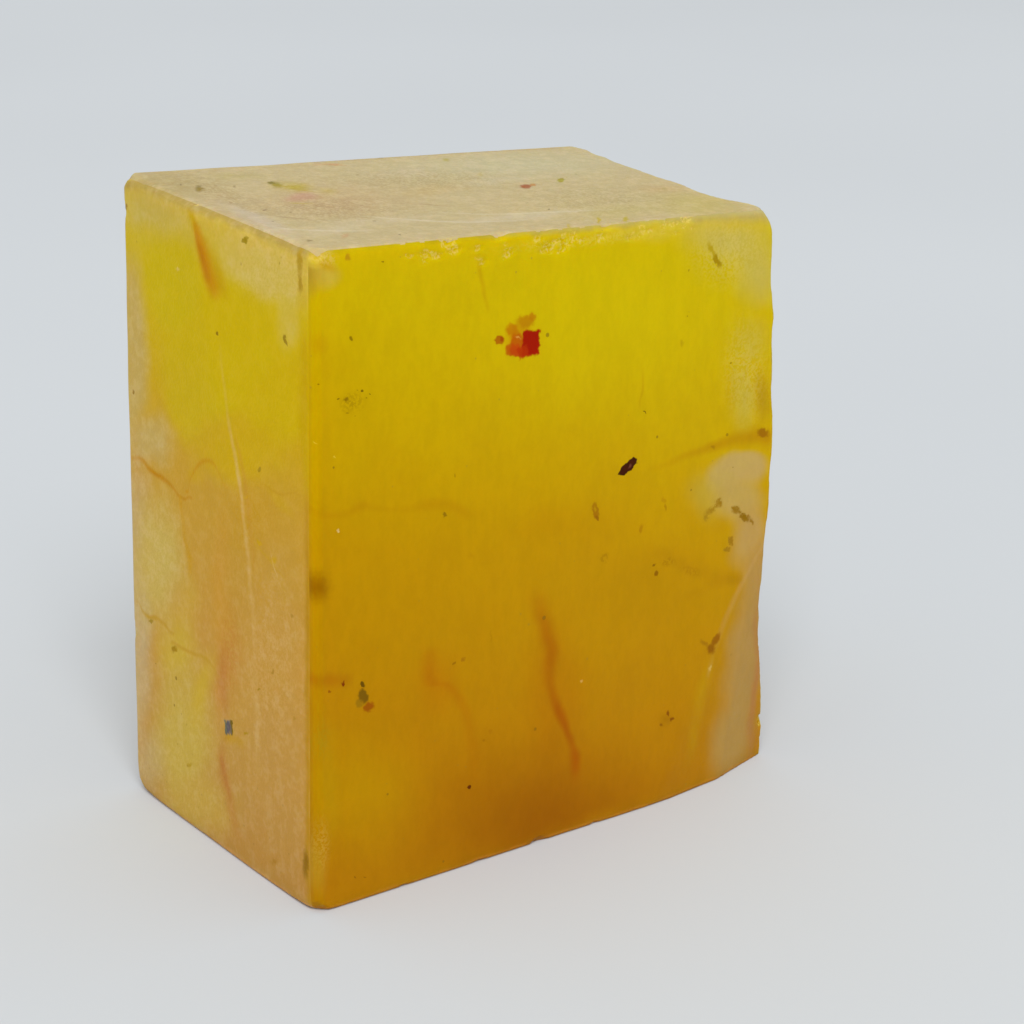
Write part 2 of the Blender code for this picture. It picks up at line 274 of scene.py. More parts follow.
SIDE_CLOUDS = [
    ("sulphur body", (216, 352), (66, 80), 0, 0.35, (197, 169, 1), 1),
    ("sulphur shoulder", (172, 282), (34, 58), 8, 0.45, (196, 171, 4), 1),
    ("sulphur by arris", (285, 405), (50, 56), 0, 0.5, (197, 167, 3), 1),
    ("sulphur low left", (185, 400), (34, 60), 20, 0.7, (196, 167, 12), 0.9),
    ("sulphur foot", (236, 450), (62, 44), 0, 0.8, (197, 162, 12), 0.9),
    ("pale far edge", (131, 350), (24, 120), 0, 0.6, (187, 160, 90), 0.95),
    ("pale far notch", (150, 440), (34, 36), 25, 0.8, (188, 160, 92), 0.9),
    ("pale far edge low", (134, 610), (24, 195), 0, 0.7, (186, 160, 114), 1),
    ("pale far foot", (152, 760), (30, 50), -20, 0.9, (184, 158, 108), 0.85),
    ("cream lobe", (158, 560), (40, 95), 0, 0.8, (192, 165, 80), 1),
    ("cream bridge", (178, 650), (28, 56), 0, 0.9, (194, 164, 56), 0.85),
    ("lower cream lobe", (184, 742), (44, 112), 0, 0.8, (190, 162, 72), 0.97),
    ("yellow lip", (203, 690), (16, 50), -12, 0.9, (194, 163, 44), 0.7),
    ("cream foot", (206, 806), (46, 40), -30, 0.9, (189, 156, 70), 0.85),
    ("rose band", (221, 600), (13, 120), 0, 1, (194, 143, 50), 0.75),
    ("rose near vein", (224, 690), (10, 52), 0, 0.9, (193, 133, 62), 0.7),
    ("rose foot", (278, 770), (46, 110), 0, 0.9, (184, 140, 70), 0.75),
    ("rose right", (285, 640), (34, 70), 0, 1, (188, 144, 64), 0.6),
    ("veil by near arris", (262, 262), (62, 36), -33, 0.45, (199, 174, 78), 0.95),
    ("veil low", (288, 316), (16, 40), 0, 0.8, (199, 174, 66), 0.8),
    ("veil near edge", (303, 290), (8, 26), 0, 0.8, (197, 168, 36), 0.5),
    ("veil along top", (150, 204), (46, 30), -18, 0.8, (191, 168, 76), 0.9),
    ("ochre notch", (197, 478), (14, 16), 0, 0.9, (194, 154, 24), 0.7),
    ("yellow drift a", (262, 452), (34, 10), -40, 1, (197, 163, 20), 0.6),
    ("yellow drift b", (280, 500), (36, 8), -50, 1, (195, 158, 26), 0.55),
    ("yellow drift c", (190, 600), (16, 50), 0, 1, (194, 160, 60), 0.6),
]
TOP_CLOUDS = [
    ("straw back", (520, 165), (200, 22), 2, 1, (197, 188, 150), 0.9),
    ("rose cast", (330, 200), (130, 26), 0, 1, (199, 172, 126), 0.75),
    ("warm front", (560, 205), (140, 18), 4, 1, (202, 182, 132), 0.6),
    ("bright saw band", (370, 222), (90, 7), 5, 0.9, (207, 190, 152), 0.75),
    ("dull left", (165, 183), (80, 26), 0, 1, (184, 165, 112), 1),
    ("dull left front", (235, 212), (60, 16), -25, 1, (190, 168, 124), 0.8),
    ("left rim bloom", (255, 218), (52, 8), -27, 0.8, (203, 187, 160), 0.8),
    ("lemon right end", (700, 205), (80, 22), -4, 1, (196, 178, 98), 0.85),
    ("lemon front right", (620, 212), (70, 12), 4, 1, (198, 182, 112), 0.6),
    ("rose oval", (300, 197), (22, 7), 0, 0.7, (200, 158, 128), 0.9),
    ("orange tint", (660, 188), (34, 7), 0, 1, (199, 170, 116), 0.7),
    ("orange tint b", (430, 190), (50, 9), 5, 1, (200, 172, 112), 0.5),
    ("yellow wedge", (292, 187), (30, 8), -6, 0.9, (188, 166, 58), 0.95),
    ("yellow wedge tail", (330, 192), (20, 5), -6, 1, (192, 170, 80), 0.7),
    ("white wisp", (500, 181), (60, 5), 4, 1, (205, 194, 160), 0.6),
    ("white wisp front", (520, 216), (90, 5), 5, 0.9, (210, 196, 164), 0.7),
    ("white wisp left", (330, 230), (60, 5), 5, 0.9, (208, 192, 156), 0.7),
    ("pale haze back", (400, 172), (60, 8), 2, 1, (204, 188, 152), 0.5),
    ("olive haze back", (240, 176), (40, 6), 2, 1, (186, 172, 110), 0.6),
]

# Cracks and veins: name, the stone's axis that they run along, colour, then points of x, y, strength and
# half width
FRONT_VEINS = [
    ("red vein", "z", (166, 88, 2), [
        (534, 580, 0, 12), (539, 603, 0.35, 15), (547, 634, 0.62, 13), (551, 655, 0.65, 12),
        (549, 676, 0.5, 11), (554, 698, 0.65, 8), (561, 716, 1, 7.5), (568, 735, 0.9, 6),
        (572, 745, 0.75, 6), (575, 757, 1, 8), (575, 775, 0.5, 8), (575, 795, 0, 6)]),
    ("faint vein", "z", (176, 104, 2), [
        (428, 642, 0, 12), (429, 656, 0.4, 13), (431, 680, 0.5, 12), (446, 686, 0.42, 10),
        (462, 703, 0.4, 9), (471, 731, 0.28, 10), (473, 777, 0.15, 10)]),
    ("upper streak", "z", (188, 146, 4), [
        (478, 260, 0, 4), (479, 268, 0.45, 4), (484, 290, 0.45, 4), (487, 308, 0.3, 3), (488, 316, 0, 3)]),
    ("level crack", "x", (178, 124, 2), [
        (310, 513, 0.35, 6), (327, 515, 0.35, 6), (345, 514, 0.25, 6), (360, 507, 0.4, 8),
        (375, 509, 0.2, 6), (400, 510, 0.15, 6), (438, 504, 0.35, 10), (480, 515, 0.1, 8)]),
    ("amber crack", "x", (182, 132, 2), [
        (650, 470, 0.1, 6), (670, 462, 0.3, 6), (688, 455, 0.45, 6), (705, 450, 0.6, 7),
        (716, 446, 0.75, 8), (731, 440, 0.7, 11), (745, 438, 0.75, 13), (757, 436, 0.85, 14),
        (769, 437, 0.85, 14)]),
    ("rust smear", "x", (170, 100, 6), [
        (308, 680, 0.55, 13), (320, 681, 0.6, 12), (335, 681, 0.5, 10), (350, 680, 0.25, 9)]),
    ("ochre crack", "x", (172, 122, 4), [
        (656, 552, 0.2, 9), (680, 562, 0.3, 12), (705, 573, 0.3, 14), (722, 578, 0.35, 12),
        (738, 578, 0.4, 9)]),
    ("ochre crack low", "x", (174, 124, 4), [
        (690, 592, 0.15, 10), (712, 585, 0.25, 10), (732, 581, 0.4, 8), (740, 580, 0.3, 6)]),
    # Facet ridge and its faint twin: pale lines on the creases of the lower right facets, painted highlight
    # where the creases catch the light
    ("facet ridge", "z", (200, 160, 100), [
        (763, 545, 0.25, 5), (755, 558, 0.28, 5), (746, 575, 0.3, 5), (738, 590, 0.28, 5),
        (731, 606, 0.25, 5), (725, 622, 0.2, 5), (719, 640, 0.1, 5), (713, 656, 0.05, 4),
        (710, 668, 0.2, 3.5), (708, 680, 0, 3.5)]),
    ("facet ridge faint", "z", (190, 150, 90), [
        (744, 600, 0.05, 3), (739, 640, 0.15, 3.5), (734, 680, 0.12, 4), (727, 720, 0, 4)]),
    ("corner wisp", "z", (206, 180, 90), [
        (336, 246, 0.3, 4), (326, 253, 0.5, 4), (316, 260, 0.6, 4), (310, 268, 0.6, 4), (307, 279, 0.55, 4),
        (307, 290, 0, 4)]),
    ("smoke line", "z", (184, 140, 4), [(643, 372, 0.2, 2), (643, 388, 0.4, 2), (640, 402, 0.3, 2)]),
]
SIDE_VEINS = [
    ("streak haze", "z", (187, 148, 6), [
        (198, 222, 0, 6), (206, 244, 0.55, 10), (213, 262, 0.7, 12), (219, 280, 0.7, 12),
        (222, 295, 0.35, 10), (224, 306, 0, 8)]),
    ("streak head", "z", (187, 156, 4), [
        (189, 194, 0.4, 4), (191, 212, 0.9, 5.5), (195, 228, 0.8, 6), (198, 242, 0, 5)]),
    ("orange streak", "z", (190, 130, 4), [
        (194, 214, 0, 5), (197, 228, 0.6, 6.5), (202, 250, 1, 9), (208, 272, 1, 10.5), (212, 288, 0.8, 10),
        (214, 299, 0.35, 8), (215, 308, 0, 7)]),
    ("streak core", "z", (180, 112, 4), [
        (195, 226, 0.2, 3), (199, 246, 0.6, 4), (203, 262, 0.7, 4.5), (207, 277, 0.5, 4),
        (210, 290, 0, 3)]),
    ("rust crack", "y", (184, 128, 14), [
        (131, 457, 0.3, 3), (140, 459, 0.55, 3.5), (147, 466, 0.8, 4), (157, 475, 1, 4.5),
        (166, 481, 0.85, 4), (175, 490, 0.7, 3.5), (181, 497, 0.7, 3), (191, 498, 0.5, 2.5)]),
    ("rust crack arch", "y", (190, 134, 10), [
        (188, 492, 0.6, 3), (190, 482, 0.6, 3), (194, 472, 0.6, 3.5), (200, 464, 0.7, 4),
        (207, 461, 0.6, 4), (213, 463, 0.5, 4), (220, 474, 0.3, 3), (225, 484, 0.2, 3)]),
    ("rust crack drop", "z", (190, 142, 20), [
        (181, 500, 0.7, 3.5), (182, 515, 0.55, 3), (184, 533, 0.55, 3), (188, 549, 0.7, 3.5),
        (190, 562, 0.75, 3.5), (190, 574, 0.3, 3), (190, 582, 0, 3)]),
    ("lower crack", "y", (182, 142, 40), [
        (137, 603, 0.2, 2.5), (146, 616, 0.8, 3.5), (157, 618, 0.85, 3.5), (165, 624, 0.8, 3.5),
        (172, 633, 0.7, 3)]),
    ("lower crack b", "y", (184, 144, 40), [
        (173, 643, 0.8, 3), (181, 648, 0.8, 3), (192, 653, 0.85, 3.4), (203, 657, 0.8, 3.4),
        (213, 667, 0.6, 3), (222, 680, 0.3, 2.5)]),
    ("rust stain", "z", (178, 116, 54), [
        (224, 630, 0, 8), (223, 655, 0.3, 9), (222, 675, 0.5, 9), (224, 695, 0.45, 8), (226, 712, 0.35, 6),
        (227, 735, 0.2, 5), (222, 750, 0.35, 6), (223, 765, 0.65, 8), (225, 780, 0.65, 9),
        (229, 797, 0.55, 9), (232, 814, 0.45, 9), (236, 832, 0.2, 10)]),
    ("stain core", "z", (168, 100, 34), [
        (221, 752, 0, 3), (223, 765, 0.35, 4), (226, 780, 0.3, 4), (229, 795, 0.2, 4), (231, 806, 0, 3)]),
    # A painted highlight along the saw ridge on the left side
    ("pale ridge painted highlight", "z", (208, 174, 112), [
        (218, 330, 0, 2.5), (221, 360, 0.1, 2.5), (226, 400, 0.14, 2.5), (229, 425, 0.26, 2.6),
        (234, 449, 0.38, 2.8), (240, 486, 0.42, 3), (244, 520, 0.36, 3), (247, 549, 0.28, 3),
        (250, 580, 0.26, 3.2), (252, 605, 0.22, 3.4), (254, 637, 0.17, 3.6), (256, 677, 0.14, 4.4),
        (257, 720, 0.16, 5), (257, 760, 0.12, 5), (258, 800, 0, 5)]),
    ("ridge shade", "z", (188, 136, 46), [
        (234, 425, 0, 3), (240, 455, 0.35, 3.5), (246, 490, 0.4, 3.5), (250, 525, 0.35, 3.5),
        (253, 560, 0.25, 3.5), (257, 600, 0, 3)]),
    ("hair scratch", "z", (204, 170, 108), [
        (270, 552, 0, 1), (272, 560, 0.6, 1.2), (275, 570, 0.6, 1.2), (278, 580, 0, 1)]),
    ("short crack", "y", (184, 138, 26), [
        (262, 484, 0.2, 2), (272, 490, 0.4, 2.4), (284, 493, 0.35, 2.4), (296, 494, 0.3, 2.4),
        (304, 497, 0.1, 2)]),
    ("olive crumbs line", "z", (190, 150, 20), [
        (252, 540, 0.2, 2.5), (258, 547, 0.5, 3), (266, 556, 0.5, 3), (274, 566, 0.4, 3),
        (282, 576, 0.2, 2.5)]),
]
TOP_VEINS = [
    ("dark scratch a", "x", (168, 138, 92), [
        (305, 205, 0, 1), (330, 207, 0.6, 1.2), (352, 209, 0.5, 1.2), (370, 211, 0, 1)]),
    ("dark scratch b", "x", (166, 136, 90), [
        (258, 214, 0, 1), (285, 217, 0.6, 1.1), (310, 219, 0.4, 1.1), (330, 220, 0, 1)]),
    ("dark scratch c", "x", (172, 144, 90), [
        (390, 203, 0, 1), (420, 204, 0.5, 1.2), (455, 206, 0.4, 1.2), (480, 207, 0, 1)]),
    ("light scratch a", "x", (218, 206, 178), [
        (340, 216, 0, 1.2), (400, 219, 0.6, 1.4), (470, 222, 0.7, 1.4), (560, 217, 0, 1.4)]),
    ("light scratch b", "x", (216, 204, 172), [
        (420, 212, 0, 1.2), (480, 214, 0.6, 1.3), (560, 212, 0.6, 1.3), (640, 208, 0, 1.3)]),
    ("light scratch c", "x", (216, 204, 176), [
        (250, 226, 0, 1.2), (290, 229, 0.6, 1.4), (340, 231, 0.6, 1.4), (390, 229, 0, 1.4)]),
    ("back rim", "x", (170, 146, 104), [
        (140, 172, 0.3, 1.6), (200, 168, 0.5, 1.4), (300, 162.5, 0.6, 1.3), (400, 156.5, 0.5, 1.3),
        (500, 151, 0.4, 1.3), (560, 148, 0.3, 1.3)]),
    ("sulphur dash", "x", (184, 164, 56), [
        (266, 183, 0, 2), (280, 185, 0.9, 2.5), (292, 188, 0.8, 2.5), (305, 190, 0.7, 2),
        (320, 192, 0.2, 1.6)]),
    ("brown loop", "x", (184, 160, 108), [
        (204, 192, 0, 1), (216, 193, 0.6, 1.2), (228, 197, 0.6, 1.2), (238, 203, 0.4, 1.2)]),
    ("back edge rust", "x", (200, 160, 108), [
        (300, 166, 0, 1.5), (322, 164.5, 0.5, 2), (340, 165, 0.7, 2), (352, 166, 0, 1.5)]),
    ("yellow slip", "x", (192, 170, 60), [(286, 203, 0, 1), (295, 203, 0.7, 1.2), (308, 203, 0.5, 1)]),
]

# Small flecks: name, centre, half sizes, turn, softness of the edge, colour, strength
FRONT_FLECKS = [
    ("red flake halo", (520, 340), (18, 20), 0, 0.6, (190, 134, 2), 0.8),
    ("red flake fringe", (525, 322), (12, 9), 0, 0.6, (182, 122, 2), 0.9),
    ("red flake fringe top", (532, 317), (5, 6), 0, 0.6, (184, 112, 2), 0.8),
    ("red flake fringe left", (512, 330), (8, 9), 0, 0.5, (186, 112, 2), 0.85),
    ("red flake lobe", (510, 350), (6, 8), 0, 0.45, (184, 92, 3), 0.95),
    ("red flake shoulder", (517, 343), (9, 12), 0, 0.45, (184, 84, 2), 0.9),
    ("red flake foot", (522, 353), (12, 6), 0, 0.4, (176, 62, 3), 0.9),
    ("red flake ember b", (514, 350), (8, 8), 0, 0.6, (188, 64, 8), 0.85),
    ("red flake spark", (518, 338), (1.6, 4.5), 70, 0.6, (214, 150, 60), 0.8),
    ("red flake dot", (499, 340), (6, 6), 0, 0.45, (172, 94, 4), 0.95),
    ("red flake dot core", (501, 339), (2.6, 2.6), 0, 0.6, (160, 60, 4), 0.8),
    ("maroon flake", (628, 467), (12.5, 5), 45, 0.2, (62, 14, 6), 1),
    ("maroon flake head", (633, 461.5), (6, 5), 30, 0.3, (64, 18, 8), 1),
    ("maroon flake toe", (622, 472), (5, 3.6), 20, 0.3, (58, 14, 6), 0.95),
    ("maroon flake sheen", (630, 466), (5, 1.2), 45, 0.8, (112, 60, 50), 0.8),
    ("brown oval", (595.5, 511), (4.2, 10.5), 8, 0.4, (160, 104, 4), 0.85),
    ("brown oval eye", (595, 509), (1.8, 5), 8, 0.8, (186, 140, 6), 0.8),
    ("brown oval foot", (597, 518), (2.6, 3), 0, 0.5, (140, 84, 4), 0.7),
    ("short oval", (664, 500), (4, 3), -50, 0.7, (176, 128, 4), 0.7),
    ("short oval tail", (666, 508), (1.8, 5.5), 10, 0.6, (168, 120, 2), 0.8),
    ("small oval", (641, 529), (2.4, 5.5), -12, 0.6, (172, 118, 2), 0.85),
    ("umber dot a", (654, 565), (2, 2), 0, 0.5, (136, 90, 2), 0.95),
    ("umber dot b", (656, 573), (2.4, 3.2), 0, 0.5, (140, 90, 2), 0.95),
    ("wedge right arm", (715.5, 640), (4, 11), -32, 0.6, (148, 92, 5), 0.95),
    ("wedge left arm", (704, 643), (7, 3.4), -35, 0.8, (158, 106, 8), 0.8),
    ("wedge foot", (711, 649), (5.5, 7), 0, 0.7, (146, 90, 5), 0.95),
    ("twin spot halo", (666, 720), (9, 10), 0, 1, (160, 108, 4), 0.6),
    ("twin spot a", (668, 713.5), (2.2, 3.4), 0, 0.5, (128, 66, 3), 0.85),
    ("twin spot b", (671.5, 719), (2.8, 2.6), 0, 0.5, (128, 66, 3), 0.85),
    ("twin spot c", (661.5, 725), (2.2, 2.2), 0, 0.6, (138, 84, 4), 0.8),
    ("grey fleck", (363, 696), (6, 9), 6, 0.4, (118, 84, 10), 0.95),
    ("grey fleck crown", (362.5, 684.5), (3.6, 3.4), 0, 0.4, (92, 64, 6), 0.9),
    ("grey fleck side", (359, 703), (5, 5.5), 0, 0.6, (146, 108, 14), 0.8),
    ("grey fleck tail", (369, 707), (7.5, 5.5), 20, 0.5, (156, 82, 5), 0.95),
    ("rust dot a", (343, 684), (2, 2.6), 0, 0.5, (120, 30, 4), 0.95),
    ("rust dot b", (329.5, 691.5), (1.4, 1.6), 0, 0.6, (140, 70, 6), 0.85),
    ("umber pinhead", (469.4, 787), (2.6, 2.6), 0, 0.5, (96, 34, 2), 1),
    ("olive pinhead", (351, 338), (2.6, 3), 0, 0.6, (140, 108, 2), 0.95),
    ("foot arris dark front", (308.5, 864), (4.2, 22), 0, 0.8, (130, 94, 4), 0.9),
    ("speck knot", (346.5, 400), (4.5, 3.5), 20, 0.8, (130, 96, 2), 0.85),
    ("speck knot b", (362, 390.5), (1.5, 1.5), 0, 0.5, (104, 74, 2), 0.95),
    ("speck knot c", (370.5, 394), (1.6, 1.4), 0, 0.5, (108, 76, 2), 0.9),
    ("speck knot d", (348, 413), (3, 1.6), 0, 0.7, (144, 106, 2), 0.8),
    ("speck knot e", (338.5, 399), (1.2, 1.2), 0, 0.5, (120, 88, 2), 0.8),
    ("speck knot f", (356, 416.5), (1.6, 1.2), 0, 0.6, (140, 104, 2), 0.7),
    ("speck knot g", (366, 398), (1.2, 1.2), 0, 0.6, (130, 96, 2), 0.7),
    ("speck knot h", (357.5, 391), (1.1, 1.1), 0, 0.6, (130, 96, 2), 0.7),
    ("olive seed", (445, 515), (3.4, 3), -30, 0.5, (142, 104, 8), 0.9),
    ("brown seed a", (454.5, 663.5), (1.8, 2.8), -30, 0.6, (146, 96, 4), 0.85),
    ("brown seed b", (463.5, 659.5), (3, 2.8), 0, 0.6, (160, 104, 12), 0.75),
    ("tiny dash", (645, 411.5), (2.8, 1.2), -50, 0.5, (110, 80, 2), 0.95),
    ("faint oval", (681.5, 343), (3, 6), 0, 0.9, (180, 150, 4), 0.8),
    ("faint ring", (472, 556), (6, 5), 0, 1, (178, 128, 3), 0.5),
    ("olive streak head", (711.5, 249), (3.4, 12), 27, 0.8, (178, 152, 8), 0.85),
    ("olive streak", (717, 261), (4.2, 9.5), 27, 0.6, (164, 132, 5), 0.95),
    ("amber spot", (763, 433), (8, 6), 0, 0.6, (152, 98, 4), 0.9),
    ("amber smear", (320, 345), (11, 16), 0, 1, (186, 144, 6), 0.6),
    ("brown blur", (318, 587), (17, 23), 0, 1, (142, 92, 1), 0.92),
    ("olive blotch a", (719, 503.5), (6.4, 4.6), 60, 0.8, (156, 116, 20), 0.85),
    ("olive blotch b", (710, 511), (7.5, 4.6), 40, 0.9, (160, 122, 24), 0.8),
    ("olive blotch c", (705, 518), (3.4, 5.4), 0, 0.8, (160, 122, 24), 0.7),
    ("olive blotch d", (736, 510), (7, 5), -35, 0.8, (150, 110, 18), 0.9),
    ("olive blotch e", (745, 517.5), (7.5, 4.4), -28, 0.7, (144, 104, 14), 1),
    ("olive blotch f", (752, 522), (3.2, 2.6), 0, 0.8, (150, 108, 18), 0.9),
    ("olive blotch g", (730.5, 541), (3.4, 6.6), 5, 0.8, (156, 112, 18), 0.9),
    ("olive blotch h", (727, 549.5), (5, 3), 10, 0.9, (158, 116, 20), 0.8),
    ("tick by corner", (731, 363), (2, 1.3), 40, 0.6, (136, 110, 10), 0.8),
    ("faint tick a", (713.5, 447), (3, 2), 20, 0.7, (158, 110, 6), 0.7),
    ("olive speck d", (687, 316), (1.2, 1.2), 0, 0.6, (140, 112, 4), 0.6),
    ("olive speck e", (689.5, 270.5), (1.2, 1.2), 0, 0.6, (140, 112, 4), 0.6),
    ("umber speck f", (383, 262), (1.6, 1.6), 0, 0.6, (130, 96, 6), 0.8),
    ("umber speck g", (319, 384.5), (1.3, 1.3), 0, 0.6, (126, 90, 6), 0.8),
    ("umber speck h", (355.5, 878.5), (1.4, 1.2), 0, 0.6, (120, 76, 6), 0.8),
    ("umber speck i", (365, 877.5), (1.3, 1.1), 0, 0.6, (120, 76, 6), 0.8),
    ("umber speck j", (455.5, 476), (1.4, 1.4), 0, 0.7, (150, 108, 4), 0.7),
    ("faint arc a", (484, 741), (3, 1.8), 40, 0.6, (150, 96, 4), 0.6),
    ("faint arc b", (491, 731), (3.2, 3), 0, 0.8, (166, 104, 4), 0.5),
    ("upright smudge", (491, 636), (2, 12), 0, 1, (168, 118, 3), 0.5),
    ("white nick a", (338.3, 530), (1.6, 3), 0, 0.6, (216, 184, 110), 0.9),
    ("white nick b", (581.3, 681), (2, 2), 0, 0.8, (210, 166, 94), 0.7),
    ("white nick c", (334.5, 457), (1.3, 1.3), 0, 0.7, (220, 190, 60), 0.8),
    # A painted glint where the facet crease ends
    ("white nick d", (710.5, 668), (2, 4), -20, 0.8, (206, 172, 90), 0.8),
    ("white nick e", (315.5, 443), (3, 0.9), 0, 0.7, (220, 188, 60), 0.7),
    ("corner rust a", (347, 257), (4, 5), 0, 0.6, (176, 130, 20), 0.8),
]
SIDE_FLECKS = [
    ("olive seed", (244, 240.5), (3.6, 3.6), 0, 0.5, (146, 124, 10), 0.9),
    ("olive seed tail", (247, 238), (2, 1.6), 0, 0.6, (150, 128, 10), 0.7),
    ("olive dash", (284, 338), (1.8, 6.5), 12, 0.6, (140, 112, 20), 0.85),
    ("olive dash b", (286, 343), (1.4, 3), 20, 0.6, (140, 112, 20), 0.8),
    ("umber tick", (216.7, 333), (1.6, 2.8), 10, 0.6, (128, 98, 6), 0.9),
    ("fine tick a", (279, 263), (1, 3), 0, 0.7, (160, 134, 50), 0.7),
    ("fine tick b", (240.5, 263), (1.1, 3.4), 0, 0.7, (170, 140, 60), 0.6),
    ("ochre seed", (174.5, 649), (3.6, 4.6), 0, 0.6, (156, 120, 12), 0.95),
    ("ochre seed b", (151, 621), (3, 2.4), 0, 0.6, (150, 120, 20), 0.9),
    ("olive blur", (190, 765), (4.6, 3), 20, 0.8, (170, 138, 26), 0.8),
    ("ochre dot a", (259.5, 470), (2.2, 2.4), 0, 0.6, (150, 118, 14), 0.85),
    ("ochre dot b", (273, 672), (2, 4), 0, 0.8, (160, 118, 24), 0.75),
    ("ochre dot c", (259, 688.5), (2.4, 1.8), 0, 0.6, (156, 124, 16), 0.85),
    ("ochre dot d", (246, 734), (2, 1.6), 0, 0.6, (160, 124, 20), 0.7),
    ("ochre dot e", (294.5, 719), (2, 2.4), 0, 0.8, (166, 126, 40), 0.7),
    ("ochre dot f", (292, 617), (1.8, 2.4), 0, 0.7, (160, 122, 40), 0.7),
    ("umber edge dot", (134, 392), (1.8, 2.4), 0, 0.6, (140, 106, 20), 0.9),
    ("edge notch dark", (126, 207), (1.8, 4), 0, 0.6, (130, 100, 50), 0.8),
    ("sulphur island a", (259, 543), (4.5, 3), -50, 0.8, (196, 156, 8), 0.8),
    ("sulphur island b", (274, 560), (4.5, 5), 0, 0.9, (195, 154, 10), 0.7),
    ("sulphur island c", (246, 497), (4, 2), 30, 0.8, (196, 154, 14), 0.6),
    ("gold foot spot", (274, 862), (5, 6), 0, 1, (158, 114, 20), 0.7),
    ("foot arris dark", (306, 864), (4.2, 21), 0, 0.8, (134, 98, 14), 0.9),
    ("arris stain", (299.5, 262), (3.6, 22), 0, 0.7, (166, 136, 28), 0.8),
    ("arris stain low", (300, 284), (3.2, 12), 0, 0.7, (158, 126, 24), 0.75),
    ("white fleck", (178, 269), (2.6, 3), 0, 0.8, (212, 188, 110), 0.7),
    ("chip halo", (229, 738), (9, 9), 0, 1, (184, 140, 10), 0.7),
    ("chip gold", (238, 741), (13, 8), -20, 1, (184, 142, 18), 0.5),
    ("olive dot by chip", (246, 734), (3.4, 2.6), 0, 0.7, (168, 132, 20), 0.7),
]
TOP_FLECKS = [
    ("olive head", (276, 184.5), (9, 4.2), -8, 0.8, (158, 140, 24), 0.95),
    ("olive head b", (271, 182.5), (5, 1.8), 0, 0.6, (128, 116, 26), 0.9),
    ("red bead", (526, 186.5), (7.5, 2.8), 0, 0.5, (168, 96, 48), 0.95),
    ("red bead tail", (533, 185), (4, 1.8), 0, 0.6, (200, 140, 60), 0.85),
    ("olive bead", (561, 180), (4.6, 3), 0, 0.5, (166, 156, 24), 0.95),
    ("brown bead", (199.5, 188.8), (6.5, 4), 0, 0.7, (148, 124, 36), 0.95),
    ("brown bead rim", (199, 186.3), (4.6, 1.6), 0, 0.7, (130, 112, 54), 0.8),
    ("brown tick a", (181, 184.5), (1.8, 1.3), 0, 0.6, (140, 114, 70), 0.8),
    ("brown tick b", (234.5, 186.5), (1.8, 1.5), 0, 0.6, (140, 118, 60), 0.8),
    ("brown tick c", (265, 210), (3, 1.4), 0, 0.7, (140, 112, 60), 0.8),
    ("brown tick d", (230, 202.5), (3, 1.2), 0, 0.7, (156, 124, 60), 0.7),
    ("brown tick e", (380, 157.8), (4, 1.2), 0, 0.7, (130, 118, 70), 0.7),
    ("orange fleck", (334, 164.8), (7, 1.8), 0, 0.8, (200, 152, 96), 0.7),
    ("straw fleck", (446, 160), (4.5, 2.4), 0, 0.8, (180, 166, 70), 0.85),
    ("ring fleck", (480, 174.5), (4.5, 3), 0, 0.8, (186, 168, 104), 0.8),
    ("yellow bite a", (598.7, 220), (3, 4.5), 0, 0.6, (190, 168, 30), 0.9),
    ("yellow bite b", (625.5, 219), (3.4, 3.6), 0, 0.6, (190, 168, 34), 0.9),
    ("yellow bite c", (569, 225.5), (3, 3), 0, 0.7, (194, 172, 40), 0.7),
    ("umber pin a", (549, 209.6), (1.3, 1.1), 0, 0.6, (120, 110, 40), 0.9),
    ("umber pin b", (527, 203), (1.4, 1.1), 0, 0.6, (150, 130, 70), 0.8),
    ("umber pin c", (576, 174), (2, 1.4), 0, 0.7, (176, 164, 110), 0.8),
    ("umber pin d", (400, 234.8), (1.4, 1.1), 0, 0.6, (120, 104, 50), 0.8),
    ("umber pin e", (309, 240.5), (4, 1.6), 0, 0.7, (140, 116, 60), 0.7),
    ("umber pin f", (357, 175), (1.8, 1.2), 0, 0.7, (156, 136, 80), 0.8),
    ("rust pin g", (345, 236), (6, 2.6), 30, 0.8, (196, 152, 104), 0.7),
    ("olive haze", (664, 188.5), (4, 2), 0, 0.9, (176, 160, 90), 0.6),
]

